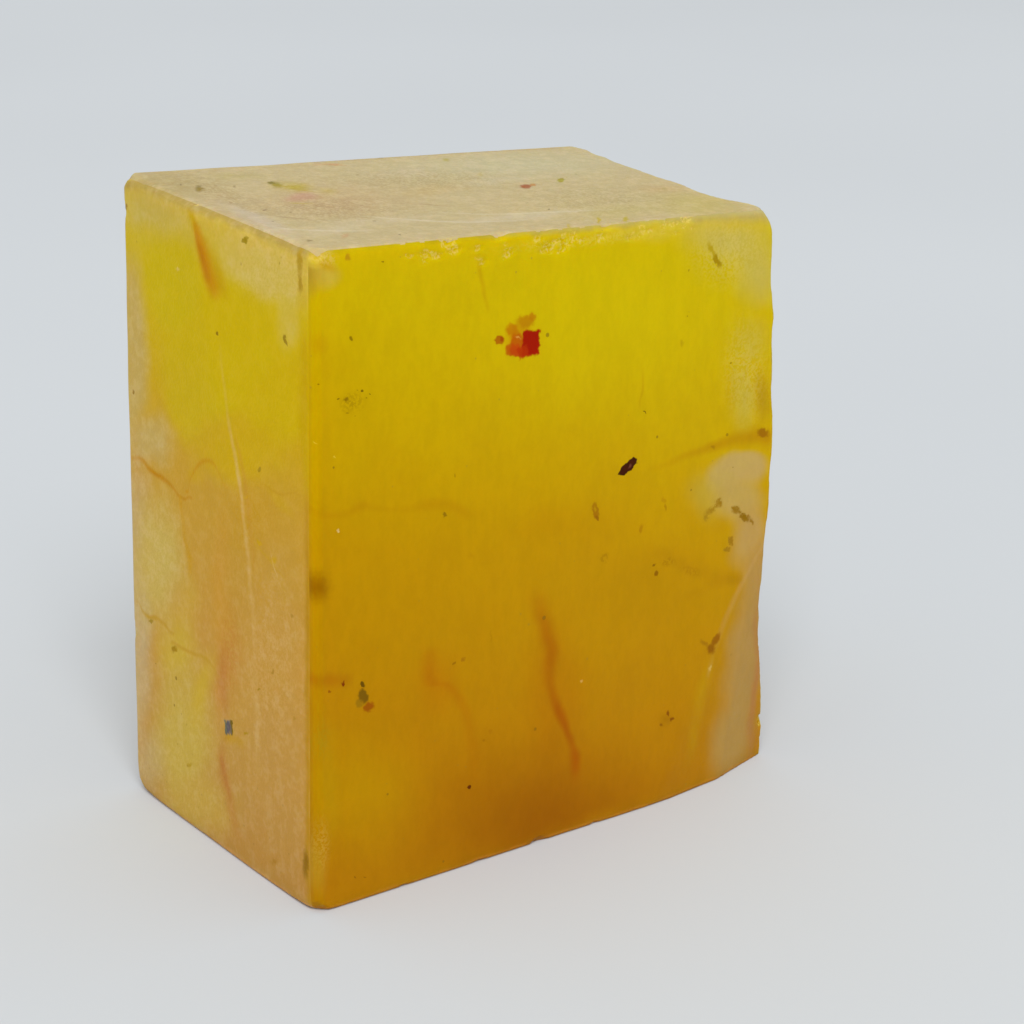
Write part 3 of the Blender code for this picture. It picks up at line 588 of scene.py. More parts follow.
# Smudges made of fine crumbs, in the same order
FRONT_SMUDGES = [
    ("olive smudge a", (718.5, 503), (6.5, 5), 60, 0.5, (150, 108, 14), 0.85),
    ("olive smudge b", (712, 509), (6, 4), 30, 0.5, (156, 116, 16), 0.7),
    ("olive smudge c", (706.5, 516), (4, 6), 0, 0.6, (158, 118, 20), 0.7),
    ("olive smudge d", (736, 510), (6.5, 5), -35, 0.5, (144, 104, 14), 0.9),
    ("olive smudge e", (744, 517), (6.5, 4.5), -30, 0.45, (140, 98, 12), 0.95),
    ("olive smudge f", (751, 521), (3.4, 3), 0, 0.5, (150, 104, 20), 0.8),
    ("olive smudge g", (730.5, 541), (3.4, 6), 5, 0.5, (152, 108, 18), 0.85),
    ("olive smudge h", (727, 549), (4.5, 3), 10, 0.5, (154, 110, 18), 0.8),
    ("ochre crumbs a", (668, 562), (12, 7), 0, 0.9, (158, 108, 4), 0.6),
    ("ochre crumbs b", (690, 571), (14, 7), -15, 0.9, (158, 108, 4), 0.6),
    ("brown crumbs", (605, 558), (5, 9), -30, 0.8, (158, 110, 4), 0.7),
    ("knot crumbs", (352, 402), (20, 15), 20, 1, (140, 104, 4), 0.55),
    ("foot olive crumbs", (322, 742), (12, 34), 0, 1, (166, 136, 24), 0.6),
    ("foot frost crumbs", (321, 845), (12, 38), 0, 1, (196, 160, 70), 0.5),
    ("corner frost crumbs", (322, 254), (22, 14), -30, 0.9, (208, 182, 100), 0.75),
    ("corner rust crumbs", (300, 264), (9, 26), 0, 1, (172, 132, 40), 0.6),
    ("right frost crumbs", (745, 370), (30, 75), 0, 1, (204, 182, 96), 0.4),
    ("upper frost crumbs", (732, 250), (58, 50), 0, 1, (206, 186, 104), 0.45),
    ("top edge crumbs", (590, 240), (120, 9), 6, 0.9, (210, 190, 80), 0.35),
]
SIDE_SMUDGES = [
    ("tan crumbs", (262, 590), (50, 120), 0, 1, (170, 126, 30), 0.35),
    ("tan light crumbs", (270, 640), (44, 150), 0, 1, (206, 168, 110), 0.3),
    ("rust crumbs", (230, 655), (18, 70), 0, 1, (184, 112, 50), 0.45),
    ("veil crumbs", (270, 270), (50, 46), -30, 1, (206, 184, 110), 0.4),
    ("ochre crumbs", (250, 520), (50, 60), 0, 1, (190, 142, 16), 0.4),
    ("cream crumbs", (160, 560), (30, 90), 0, 1, (204, 178, 120), 0.3),
]
TOP_SMUDGES = [
    ("saw crumbs", (330, 208), (110, 20), 0, 1, (162, 130, 84), 0.42),
    ("back crumbs", (420, 180), (140, 16), 0, 1, (170, 148, 98), 0.45),
    ("right crumbs", (600, 200), (120, 22), 0, 1, (168, 152, 90), 0.4),
    ("left crumbs", (220, 192), (60, 16), -20, 1, (160, 132, 80), 0.4),
    ("rim frost crumbs", (255, 222), (60, 8), -27, 0.9, (214, 200, 176), 0.5),
]

# The marks that are placed on the stone itself, in mm along the two axes of their face.

# Lines beside the arrises: name, axis, colour, then points of along, across, strength and half width.
# The arris shades are painted shade on roundings that catch more light, and the foot lines a painted glow
# along the base where shade falls
FRONT_ARRIS_LINES = [
    # Painted shade on the near upright's rounding, which catches more light than the front
    ("near arris shade", "z", (158, 122, 6), [
        (0.6, 0.25, 0.35, 0.6), (4.0, 0.25, 0.35, 0.6), (8.0, 0.3, 0.3, 0.6), (12.0, 0.5, 0.32, 0.65),
        (16.0, 0.65, 0.28, 0.7), (20.0, 0.7, 0.22, 0.75), (23.0, 0.75, 0.24, 0.8), (26.0, 0.75, 0.15, 0.9),
        (30.0, 0.75, 0.2, 1.0), (33.0, 0.6, 0.22, 1.0), (34.8, 0.5, 0.5, 1.0)]),
    # Painted shade on the top front rounding, which faces the light
    ("top arris shade", "x", (152, 132, 22), [
        (0.4, 35.95, 0.8, 0.6), (2.6, 35.95, 0.9, 0.5), (5.06, 35.85, 0.9, 0.5), (9.86, 35.62, 0.9, 0.5),
        (17.04, 35.24, 0.9, 0.5), (25.0, 34.82, 0.9, 0.5), (30.0, 34.55, 0.9, 0.5), (32.0, 34.4, 0.6, 0.5)]),
    ("top arris frost", "x", (174, 159, 108), [
        (9.0, 35.65, 0.0, 0.4), (12.0, 35.5, 0.35, 0.45), (17.0, 35.22, 0.6, 0.55), (22.0, 34.97, 0.7, 0.6),
        (27.0, 34.7, 0.85, 0.75), (30.0, 34.42, 1.0, 1.0), (33.5, 34.1, 1.0, 1.1)]),
    # Painted glow along the front's foot, where the floor's shade falls
    ("front foot painted glow", "x", (214, 132, 46), [
        (0.5, 0.1, 0.4, 0.26), (10.0, 0.1, 0.45, 0.26), (20.0, 0.1, 0.45, 0.26), (33.0, 0.1, 0.4, 0.26)]),
]
SIDE_ARRIS_LINES = [
    # Painted glow along the left side's foot, where the floor's shade falls
    ("side foot painted glow", "y", (214, 146, 84), [
        (0.5, 0.12, 0.7, 0.3), (8.0, 0.12, 0.7, 0.3), (14.0, 0.12, 0.5, 0.3), (20.0, 0.12, 0.2, 0.3)]),
    # Painted shade on the top left rounding, which catches more light than the side
    ("upper arris shade", "y", (158, 137, 76), [
        (0.6, 35.8, 0.9, 0.6), (3.0, 35.95, 1.0, 0.6), (6.0, 36.1, 1.0, 0.6), (10.0, 36.26, 1.0, 0.6),
        (14.0, 36.36, 1.0, 0.6), (18.0, 36.36, 0.9, 0.6), (20.0, 36.0, 0.6, 0.6)]),
    ("near edge blend", "z", (188, 156, 2), [
        (22.0, 0.7, 0.0, 0.6), (24.5, 0.7, 0.75, 0.65), (27.0, 0.8, 0.9, 0.95), (30.5, 0.8, 0.85, 0.95),
        (32.5, 0.74, 0.0, 0.5)]),
    ("near edge blend low", "z", (172, 129, 8), [
        (0.6, 0.66, 0.7, 0.5), (12.0, 0.66, 0.8, 0.5), (18.0, 0.66, 0.8, 0.5), (22.0, 0.66, 0.6, 0.5),
        (25.0, 0.66, 0.0, 0.5)]),
]

# Chips with straight sides: name, centre, half sizes, turn, softness of the edge, colour, strength
FRONT_PLATES = [
    ("red flake core", (14.14, 29.26), (0.62, 0.74), -4, 0.2, (160, 16, 2), 1.0),
    ("red flake core lip", (13.62, 28.86), (0.42, 0.4), 20, 0.4, (178, 44, 4), 0.85),
]
SIDE_PLATES = [
    ("steel chip shadow", (8.52, 7.83), (0.14, 0.51), 0, 0.3, (102, 84, 10), 0.9),
    ("steel chip left", (9.13, 7.63), (0.18, 0.47), 0, 0.35, (92, 100, 84), 0.95),
    ("steel chip middle", (8.87, 7.74), (0.19, 0.48), 0, 0.3, (92, 86, 94), 1.0),
    ("steel chip right", (8.65, 7.82), (0.12, 0.46), 0, 0.4, (104, 94, 84), 0.9),
]

# The broken side and the back: clouds, veins and flecks in the same orders
BREAK_CLOUDS = [
    ("amber hollow", (11.0, 7.0), (6.0, 6.0), 0, 1.0, (172, 112, 14), 0.8),
    ("lemon shoulder", (8.0, 28.0), (7.0, 6.0), 0, 1.0, (203, 178, 14), 0.8),
    ("white bruise", (16.0, 20.0), (4.0, 5.0), 0, 0.8, (206, 186, 140), 0.7),
]
BREAK_VEINS = [
    ("broken crack", "y", (178, 122, 24), [
        (1.0, 21.6, 0.8, 0.6), (7.0, 20.4, 0.6, 0.4), (13.0, 22.0, 0.7, 0.4), (20.0, 20.6, 0.4, 0.4)]),
    ("broken vein", "z", (172, 96, 20), [
        (16.0, 14.0, 0.0, 0.5), (10.0, 15.0, 0.6, 0.5), (4.0, 14.0, 0.7, 0.4), (0.5, 13.6, 0.2, 0.4)]),
]
BREAK_FLECKS = [
    ("umber speck", (6.0, 24.0), (0.5, 0.3), 30, 0.6, (104, 56, 8), 0.9),
    ("olive speck", (14.0, 12.0), (0.4, 0.6), 0, 0.7, (140, 112, 20), 0.8),
]
BACK_CLOUDS = [
    ("sulphur upper", (14.0, 27.0), (12.0, 8.0), 0, 0.8, (198, 170, 6), 0.85),
    ("cream lower left", (8.0, 9.0), (7.0, 8.0), 0, 0.7, (192, 162, 80), 0.85),
    ("rose middle", (22.0, 14.0), (8.0, 6.0), 0, 1.0, (189, 141, 58), 0.8),
    ("amber corner", (29.0, 4.0), (6.0, 5.0), 0, 1.0, (172, 112, 20), 0.8),
]
BACK_VEINS = [
    ("back level crack", "x", (180, 128, 30), [
        (1.0, 20.4, 0.5, 0.4), (8.0, 21.6, 0.7, 0.4), (15.0, 20.2, 0.5, 0.35),
        (24.0, 21.4, 0.6, 0.4), (32.0, 22.0, 0.3, 0.4)]),
    ("back rust stain", "z", (180, 112, 44), [
        (19.0, 12.0, 0.0, 0.6), (13.0, 12.6, 0.7, 0.6), (7.0, 13.6, 0.8, 0.5), (1.0, 13.2, 0.3, 0.5)]),
    ("back upper streak", "z", (184, 118, 8), [
        (35.0, 24.0, 0.2, 0.3), (31.0, 24.6, 0.8, 0.5), (27.0, 25.6, 0.0, 0.5)]),
]
BACK_FLECKS = [
    ("umber speck a", (9.0, 25.0), (0.6, 0.34), -34, 0.5, (84, 34, 8), 0.95),
    ("umber speck b", (21.5, 11.0), (0.3, 0.5), 12, 0.6, (140, 92, 6), 0.9),
    ("rust speck", (17.0, 29.0), (0.5, 0.4), 0, 0.6, (170, 70, 6), 0.9),
    ("olive speck a", (26.0, 17.0), (0.6, 0.4), 40, 0.7, (150, 116, 20), 0.8),
    ("olive speck b", (5.0, 14.0), (0.4, 0.3), 0, 0.7, (150, 116, 20), 0.8),
]

# For each face that the camera sees: its way out, and places in the frame that lie on the flat of it
SEEN = {
    "left": ((-1, 0, 0), [
        (160, 300), (280, 350), (160, 700), (280, 780), (220, 500), (200, 400), (250, 650)]),
    "front": ((0, -1, 0), [
        (400, 300), (700, 300), (400, 800), (700, 650), (550, 500), (450, 700), (640, 400)]),
    "top": ((0, 0, 1), [
        (300, 190), (500, 200), (600, 180), (400, 170), (250, 190), (450, 190), (560, 165)]),
}

# The sides of the lattice in their order, each painted in tiles so that a tile's material holds its own
# marks alone. Tiles are counted along the face's two axes. Gain names the tint, which is partly painted light
# that makes each face lighter or darker for the light it gets; shine scales the gloss, and mottle and frost
# are strengths. The last words are how much dust lies on the face, the depth of its grain,
# how its mottle is stretched by height, how its colour climbs to the right, and its saw marks' scale by axis.
Face = namedtuple(
    "Face",
    "name axes tiles body gain shine mottle frost clouds veins lines flecks smudges plates "
    "dust grain stretch climb saw",
    defaults=([], [], [], [], [], [], 0.1, 1.0, 1.0, 0.0, None))
FACES = (
    Face(
        "left", "yz", (2, 4), SIDE_BODY, "side_painted_light_tint", shine=0.2, mottle=0.025, frost=0.16,
        clouds=SIDE_CLOUDS, veins=SIDE_VEINS, lines=SIDE_ARRIS_LINES, flecks=SIDE_FLECKS,
        smudges=SIDE_SMUDGES, plates=SIDE_PLATES),
    Face(
        "break", "yz", (1, 2), BREAK_BODY, "side_painted_light_tint", shine=0.3, mottle=0.05, frost=0.2,
        clouds=BREAK_CLOUDS, veins=BREAK_VEINS, flecks=BREAK_FLECKS, grain=1.6),
    Face(
        "front", "xz", (4, 4), FRONT_BODY, "front_painted_light_tint", shine=0.6, mottle=0.03, frost=0.0,
        clouds=FRONT_CLOUDS, veins=FRONT_VEINS, lines=FRONT_ARRIS_LINES, flecks=FRONT_FLECKS,
        smudges=FRONT_SMUDGES, plates=FRONT_PLATES, grain=0.4, stretch=0.45, climb=0.22),
    Face(
        "back", "xz", (2, 2), SIDE_BODY, "side_painted_light_tint", shine=0.3, mottle=0.04, frost=0.16,
        clouds=BACK_CLOUDS, veins=BACK_VEINS, flecks=BACK_FLECKS),
    Face("base", "xy", (1, 1), BASE_BODY, "side_painted_light_tint", shine=0.3, mottle=0.04, frost=0.2),
    Face(
        "top", "xy", (3, 2), TOP_BODY_WITH_SHEEN, "top_painted_light_tint", shine=0.5, mottle=0.03, frost=0.2,
        clouds=TOP_CLOUDS, veins=TOP_VEINS, flecks=TOP_FLECKS, smudges=TOP_SMUDGES, dust=0.26,
        saw=(0.12, 1.6, 1.0)),
)
FACE_NUMBERS = {face.name: number for number, face in enumerate(FACES)}

# Clusters of chips on the top front arris, in mm: from and to along it, least and greatest drop below it, and
# how many chips
TOP_FRONT_CHIPS = [
    (6.1, 6.5, 0.1, 0.5, 2), (7.1, 8.2, 0.1, 0.75, 9), (8.6, 9.4, 0.1, 0.5, 5), (10.4, 11.0, 0.3, 1.1, 5),
    (11.9, 12.8, 0.2, 0.9, 5), (14.4, 16.5, 0.1, 0.9, 18), (16.7, 17.0, 0.1, 0.5, 2),
    (17.3, 17.7, 0.2, 0.5, 2), (18.6, 18.9, 0.2, 0.6, 3), (20.6, 22.4, 0.1, 0.7, 8),
    (23.1, 25.4, 0.1, 0.7, 8),
]

# Random nicks: the arris as ends of the lattice along x, y and z, with None for the way it runs, and how many
NICKS = [
    ((None, 0, -1), 6), ((0, None, -1), 4), ((None, -1, -1), 30), ((-1, 0, None), 7), ((-1, None, -1), 14),
    ((0, -1, None), 26), ((-1, -1, None), 20), ((None, -1, 0), 12), ((-1, None, 0), 10),
]


def tone(red, green, blue):
    """A colour given as 0 to 255 on a screen, as the linear light that a shader takes."""
    linear = []
    for level in (red, green, blue):
        level = level / 255
        linear.append(level / 12.92 if level <= 0.04045 else ((level + 0.055) / 1.055) ** 2.4)
    return (*linear, 1.0)


class SapphireSizes(bpy.types.PropertyGroup):
    """Fineness and wear of the stone's skin."""

    rim_step: FloatProperty(
        name="Arris step",
        description="Distance between the skin's points beside an arris",
        default=0.085 * MM, min=0.03 * MM, unit="LENGTH", precision=6,
    )
    rim_width: FloatProperty(
        name="Arris band",
        description="Width beside each arris that keeps the close step",
        default=0.85 * MM, min=0.1 * MM, unit="LENGTH", precision=6,
    )
    open_step: FloatProperty(
        name="Open step",
        description="Distance between the skin's points in the middle of a face",
        default=0.3 * MM, min=0.1 * MM, unit="LENGTH", precision=6,
    )
    waviness: FloatProperty(
        name="Waviness",
        description="Height of the slow waves that sawing and rubbing left on a face",
        default=0.035 * MM, min=0.0, unit="LENGTH", precision=6,
    )
    break_relief: FloatProperty(
        name="Break relief",
        description="Height of the fine relief on the broken side",
        default=0.16 * MM, min=0.0, unit="LENGTH", precision=6,
    )
    nick_share: FloatProperty(
        name="Nicks",
        description="How many small chips the arrises have, against their usual number",
        default=1.0, min=0.0,
    )


class SapphireLooks(bpy.types.PropertyGroup):
    """Finish of the stone, with the tints that paint each face lighter or darker for the light that falls on
    it.
    """

    # Painted light: each face's tint also scales its colour up or down for how strongly the lamp and sky
    # light that face
    front_painted_light_tint: FloatVectorProperty(
        name="Front tint",
        description="Multiplies the colours of the clear front face",
        default=(0.92, 0.9, 0.8), size=3, min=0.0, soft_max=2.0,
    )
    # Painted light: lifts the sides, which get less light than the front
    side_painted_light_tint: FloatVectorProperty(
        name="Side tint",
        description="Multiplies the colours of the frosted sides and back",
        default=(1.047, 1.0, 0.88), size=3, min=0.0, soft_max=2.0,
    )
    # Painted shade: darkens the top, which gets the most light
    top_painted_light_tint: FloatVectorProperty(
        name="Top tint",
        description="Multiplies the colours of the frosted top",
        default=(0.81, 0.762, 0.69), size=3, min=0.0, soft_max=2.0,
    )
    chip_colour: FloatVectorProperty(
        name="Fresh chip",
        description="Colour of a chip that shows unworn stone",
        default=tone(212, 190, 100)[:3], size=3, subtype="COLOR",
    )
    glow: FloatProperty(
        name="Glow",
        description="How much of the light travels under the skin before it leaves",
        default=0.35, min=0.0, max=1.0, subtype="FACTOR",
    )
    glow_depth: FloatProperty(
        name="Glow depth",
        description="Distance that red light travels under the skin",
        default=4.0 * MM, min=0.0, unit="LENGTH", precision=5,
    )
    frost_colour: FloatVectorProperty(
        name="Frost",
        description="Colour of the bruised grains on the sawn sides",
        default=tone(214, 192, 150)[:3], size=3, subtype="COLOR",
    )
    gloss: FloatProperty(
        name="Gloss",
        description="Strength of the surface's own reflection",
        default=0.1, min=0.0, max=1.0, subtype="FACTOR",
    )


class SapphireStage(bpy.types.PropertyGroup):
    """Floor and light."""

    floor_size: FloatProperty(
        name="Floor", description="Side of the square floor", default=3.0, min=0.5, unit="LENGTH",
    )
    floor_colour: FloatVectorProperty(
        name="Floor colour",
        description="Colour of the pale floor",
        default=(0.57, 0.575, 0.58), size=3, subtype="COLOR",
    )
    sky_colour: FloatVectorProperty(
        name="Sky colour",
        description="Colour of the even light from all round",
        default=(0.93, 0.97, 1.0), size=3, subtype="COLOR",
    )
    sky_strength: FloatProperty(
        name="Sky strength", description="Strength of the even light", default=0.685, min=0.0,
    )
    softbox_power: FloatProperty(
        name="Softbox power", description="Power of the lamp", default=108.0, min=0.0, unit="POWER",
    )
    softbox_size: FloatProperty(
        name="Softbox size", description="Side of the square lamp", default=1.8, min=0.05, unit="LENGTH",
    )


def edge_places(length, sizes):
    """Places from 0 to 1 along an edge: close together beside both ends, even in between."""
    rim_step = sizes.rim_step / MM
    open_step = sizes.open_step / MM
    steps = [rim_step] * round(sizes.rim_width / sizes.rim_step)
    step = rim_step
    while step * STEP_GROWTH < open_step:
        step *= STEP_GROWTH
        steps.append(step)
    middle_length = length - 2 * sum(steps)
    middle_count = math.ceil(middle_length / open_step)
    middle = [middle_length / middle_count] * middle_count
    places = np.concatenate([[0.0], np.cumsum(steps + middle + steps[::-1])])
    return places / places[-1]


def skin_lattice(counts):
    """The outside of a block of points: grid places, a table from place to point, quads, and their sides."""
    grid = np.zeros(counts, dtype=bool)
    for axis in range(3):
        ends = [slice(None)] * 3
        for end in (0, -1):
            ends[axis] = end
            grid[tuple(ends)] = True
    table = np.full(counts, -1)
    table[grid] = np.arange(grid.sum())
    quads = []
    for axis in range(3):
        for end in (0, -1):
            side = np.take(table, end, axis=axis)
            corners = [side[:-1, :-1], side[1:, :-1], side[1:, 1:], side[:-1, 1:]]
            outward = (end == -1) != (axis == 1)
            if not outward:
                corners.reverse()
            quads.append(np.stack(corners, axis=-1).reshape(-1, 4))
    sides = np.repeat(np.arange(6), [len(part) for part in quads])
    return np.argwhere(grid), table, np.concatenate(quads), sides


def blend_corners(corners, places):
    """Points of the six-sided body with these corners, [x][y][z], at places from 0 to 1 along each axis."""
    points = np.zeros((len(places), 3))
    for x_end in (0, 1):
        for y_end in (0, 1):
            for z_end in (0, 1):
                share = np.ones(len(places))
                for axis, end in enumerate((x_end, y_end, z_end)):
                    share = share * (places[:, axis] if end else 1 - places[:, axis])
                points += share[:, None] * corners[x_end, y_end, z_end]
    return points


def block_in_millimetres():
    """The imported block's points from the near corner of its base, and a tree to cast rays at."""
    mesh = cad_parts[BLOCK_NODE].data
    points = np.array([(v.co - NEAR_CORNER) / MM for v in mesh.vertices])
    faces = [tuple(p.vertices) for p in mesh.polygons]
    return points, BVHTree.FromPolygons([Vector(p) for p in points], faces)


def by_axes(point, axes):
    """The point's places along the two axes of a face."""
    return np.array([point["xyz".index(axis)] for axis in axes])


def outermost_corners(points):
    """For each of the eight ways out, the block's point that lies furthest that way."""
    low, high = points.min(axis=0), points.max(axis=0)
    centred = (points - (low + high) / 2) / (high - low)
    corners = np.zeros((2, 2, 2, 3))
    for place in np.ndindex(2, 2, 2):
        way = np.array(place) * 2 - 1
        corners[place] = points[np.argmax(centred @ way)]
    return corners


def draw_skin(points, inward, tree):
    """Casts each point of the lattice along its inward way until it meets the block."""
    skin = np.empty_like(points)
    for index, (start, way) in enumerate(zip(points, inward)):
        heading = Vector(way)
        reach = heading.length
        origin = Vector(start) - heading * (RAY_START - 1)
        hit = tree.ray_cast(origin, heading.normalized(), reach * RAY_START * 2)[0]
        skin[index] = hit if hit is not None else tree.find_nearest(Vector(start))[0]
    return skin


def soften_break(skin, table, inside):
    """Rounds off the block's flat facets on the broken side, away from its rim."""
    side = table[-1]
    depth = skin[side][..., 0].copy()
    weight = inside[side]
    for _ in range(BREAK_SMOOTHINGS):
        around = depth.copy()
        around[1:-1, 1:-1] = (
            depth[:-2, 1:-1] + depth[2:, 1:-1] + depth[1:-1, :-2] + depth[1:-1, 2:]
        ) / 4
        depth += (around - depth) * weight
    skin[side, 0] = depth


def straighten_foot(skin, table):
    """Evens out the bumps along the base arris of the left side."""
    for offset in range(FOOT_BAND):
        for row in {(0, offset), (offset, 0)}:
            line = table[row[0], :, row[1]]
            points = skin[line]
            for _ in range(FOOT_SMOOTHINGS):
                points[1:-1] += (points[:-2] + points[2:] - 2 * points[1:-1]) / 4
            fade = np.clip(1 - offset / FOOT_BAND, 0, 1)
            skin[line, 0] += (points[:, 0] - skin[line, 0]) * fade
            skin[line, 2] += (points[:, 2] - skin[line, 2]) * fade


def relief(points, scale, detail, offset):
    """Layered noise between about -1 and 1 at each point."""
    shift = offset * Vector((1.0, 0.7, -1.0))
    return np.array([
        noise.fractal(
            Vector(p) * scale + shift, RELIEF_FADE, RELIEF_STEP, detail, noise_basis="PERLIN_ORIGINAL")
        for p in points
    ])


def roughen(skin, inward, places, inside, sizes):
    """Gives the sides and the top slow waves, and the break a fine grit that is weaker at its rim."""
    broken = np.where(places[:, 0] == 1, RIM_GRIT + (1 - RIM_GRIT) * inside, 0.0)
    slow = relief(skin, *SLOW_WAVES) * (sizes.waviness / MM) * (places[:, 2] > 0)
    on_break = broken > 0
    sink = slow * (1 - broken)
    grit = relief(skin[on_break], *BREAK_GRIT) * (sizes.break_relief / MM)
    sink[on_break] += grit * broken[on_break]
    skin += inward * sink[:, None]


def scoop(skin, inward, worn, centre, radius):
    """Sinks the points inside a ball to the ball's far side, and notes how deep each one went."""
    away = skin - centre
    inside = np.flatnonzero((away ** 2).sum(axis=1) < radius ** 2)
    along = (away[inside] * inward[inside]).sum(axis=1)
    gap = (away[inside] ** 2).sum(axis=1) - radius ** 2
    sink = -along + np.sqrt(along ** 2 - gap)
    skin[inside] += inward[inside] * sink[:, None]
    worn[inside] = np.maximum(worn[inside], sink)


def chip_arrises(skin, inward, table, nick_share):
    """Breaks small shells off the arrises: clusters on the top front arris, then random nicks."""
    worn = np.zeros(len(skin))
    rng = np.random.default_rng(CHIP_SEED)
    top_front = table[:, 0, -1]
    for start, end, least, most, count in TOP_FRONT_CHIPS:
        for _ in range(count):
            row = top_front[np.argmin(np.abs(skin[top_front, 0] - rng.uniform(start, end)))]
            radius = rng.uniform(*CLUSTER_RADIUS)
            bite = rng.uniform(*CLUSTER_BITE)
            out = np.array([rng.uniform(-CLUSTER_SWAY, CLUSTER_SWAY), -1.0, CLUSTER_RISE])
            out /= np.linalg.norm(out)
            hold = skin[row] - np.array([0, 0, rng.uniform(least, most)])
            column = np.flatnonzero(np.abs(skin[:, 0] - hold[0]) < CLUSTER_STRIP)
            near = column[np.argmin(((skin[column] - hold) ** 2).sum(axis=1))]
            scoop(skin, inward, worn, skin[near] + out * (radius - bite), radius)
    for ends, count in NICKS:
        arris = table[tuple(slice(None) if end is None else end for end in ends)]
        for _ in range(round(count * nick_share)):
            row = arris[rng.integers(len(arris))]
            radius = NICK_RADIUS + NICK_GROWTH * rng.random() ** NICK_RARITY
            bite = radius * rng.uniform(*NICK_BITE)
            out = -inward[row] + rng.normal(0, NICK_SWAY, 3)
            out /= np.linalg.norm(out)
            scoop(skin, inward, worn, skin[row] + out * (radius - bite), radius)
    return worn


def lap_colours(skin, quads, sides, places, lengths):
    """Gives the quads beside an arris to the face whose colour laps round it."""
    from_front = places[quads, 1].mean(axis=1) * lengths[1]
    from_left = places[quads, 0].mean(axis=1) * lengths[0]
    on_base = sides == FACE_NUMBERS["base"]
    sides[on_base & (from_left < LEFT_OVERLAP)] = FACE_NUMBERS["left"]
    on_top = sides == FACE_NUMBERS["top"]
    from_front[on_top] += OVERLAP_FRAY * relief(skin[quads[on_top, 0]], *FRAYED_EDGE)
    for name, overlap in FRONT_OVERLAP.items():
        sides[(sides == FACE_NUMBERS[name]) & (from_front < overlap)] = FACE_NUMBERS["front"]


def build_skin(sizes):
    """The stone's closed mesh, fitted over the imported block, with its wear noted point by point."""
    points, tree = block_in_millimetres()
    corners = outermost_corners(points)
    lengths = [
        np.linalg.norm(corners[1, 0, 1] - corners[0, 0, 1]),
        np.linalg.norm(corners[0, 1, 1] - corners[0, 0, 1]),
        np.linalg.norm(corners[0, 0, 1] - corners[0, 0, 0]),
    ]
    axes = [edge_places(length, sizes) for length in lengths]
    counts = tuple(len(axis) for axis in axes)
    grid_rows, table, quads, sides = skin_lattice(counts)
    places = np.stack([axes[axis][grid_rows[:, axis]] for axis in range(3)], axis=1)
    margin = RAY_MARGIN / np.array(lengths)
    outer = blend_corners(corners, places)
    core = blend_corners(corners, np.clip(places, margin, 1 - margin))
    skin = draw_skin(outer, core - outer, tree)
    inward = core - skin
    inward /= np.linalg.norm(inward, axis=1)[:, None]

    to_edges = np.minimum(places, 1 - places) * lengths
    nearest_two = np.sort(to_edges, axis=1)[:, 1]
    inside = np.clip(nearest_two / BREAK_FADE, 0, 1)
    soften_break(skin, table, inside)
    straighten_foot(skin, table)

    roughen(skin, inward, places, inside, sizes)
    worn = chip_arrises(skin, inward, table, sizes.nick_share)
    skin[:, 2] = np.maximum(skin[:, 2], 0.0)
    lap_colours(skin, quads, sides, places, lengths)
    return skin, quads, sides, worn


def tile_slots(skin, quads, sides):
    """Each quad's material slot, by the face it is on and its tile there."""
    centres = skin[quads].mean(axis=1)
    slots = np.zeros(len(quads), dtype=np.int32)
    first = 0
    for number, face in enumerate(FACES):
        on_face = np.flatnonzero(sides == number)
        place = []
        for axis, count in zip(face.axes, face.tiles):
            axis = "xyz".index(axis)
            share = centres[on_face, axis] / BLOCK_SIZE[axis]
            place.append(np.clip(np.floor(share * count), 0, count - 1))
        slots[on_face] = first + place[1] * face.tiles[0] + place[0]
        first += face.tiles[0] * face.tiles[1]
    return slots


def camera_axes():
    """The camera's ways to the right, up and forwards."""
    sight = Vector(SIGHT).normalized()
    right = sight.cross(Vector((0, 0, 1))).normalized()
    up = right.cross(sight)
    roll = math.radians(ROLL_DEGREES)
    across = right * math.cos(roll) + up * math.sin(roll)
    above = up * math.cos(roll) - right * math.sin(roll)
    return across, above, sight


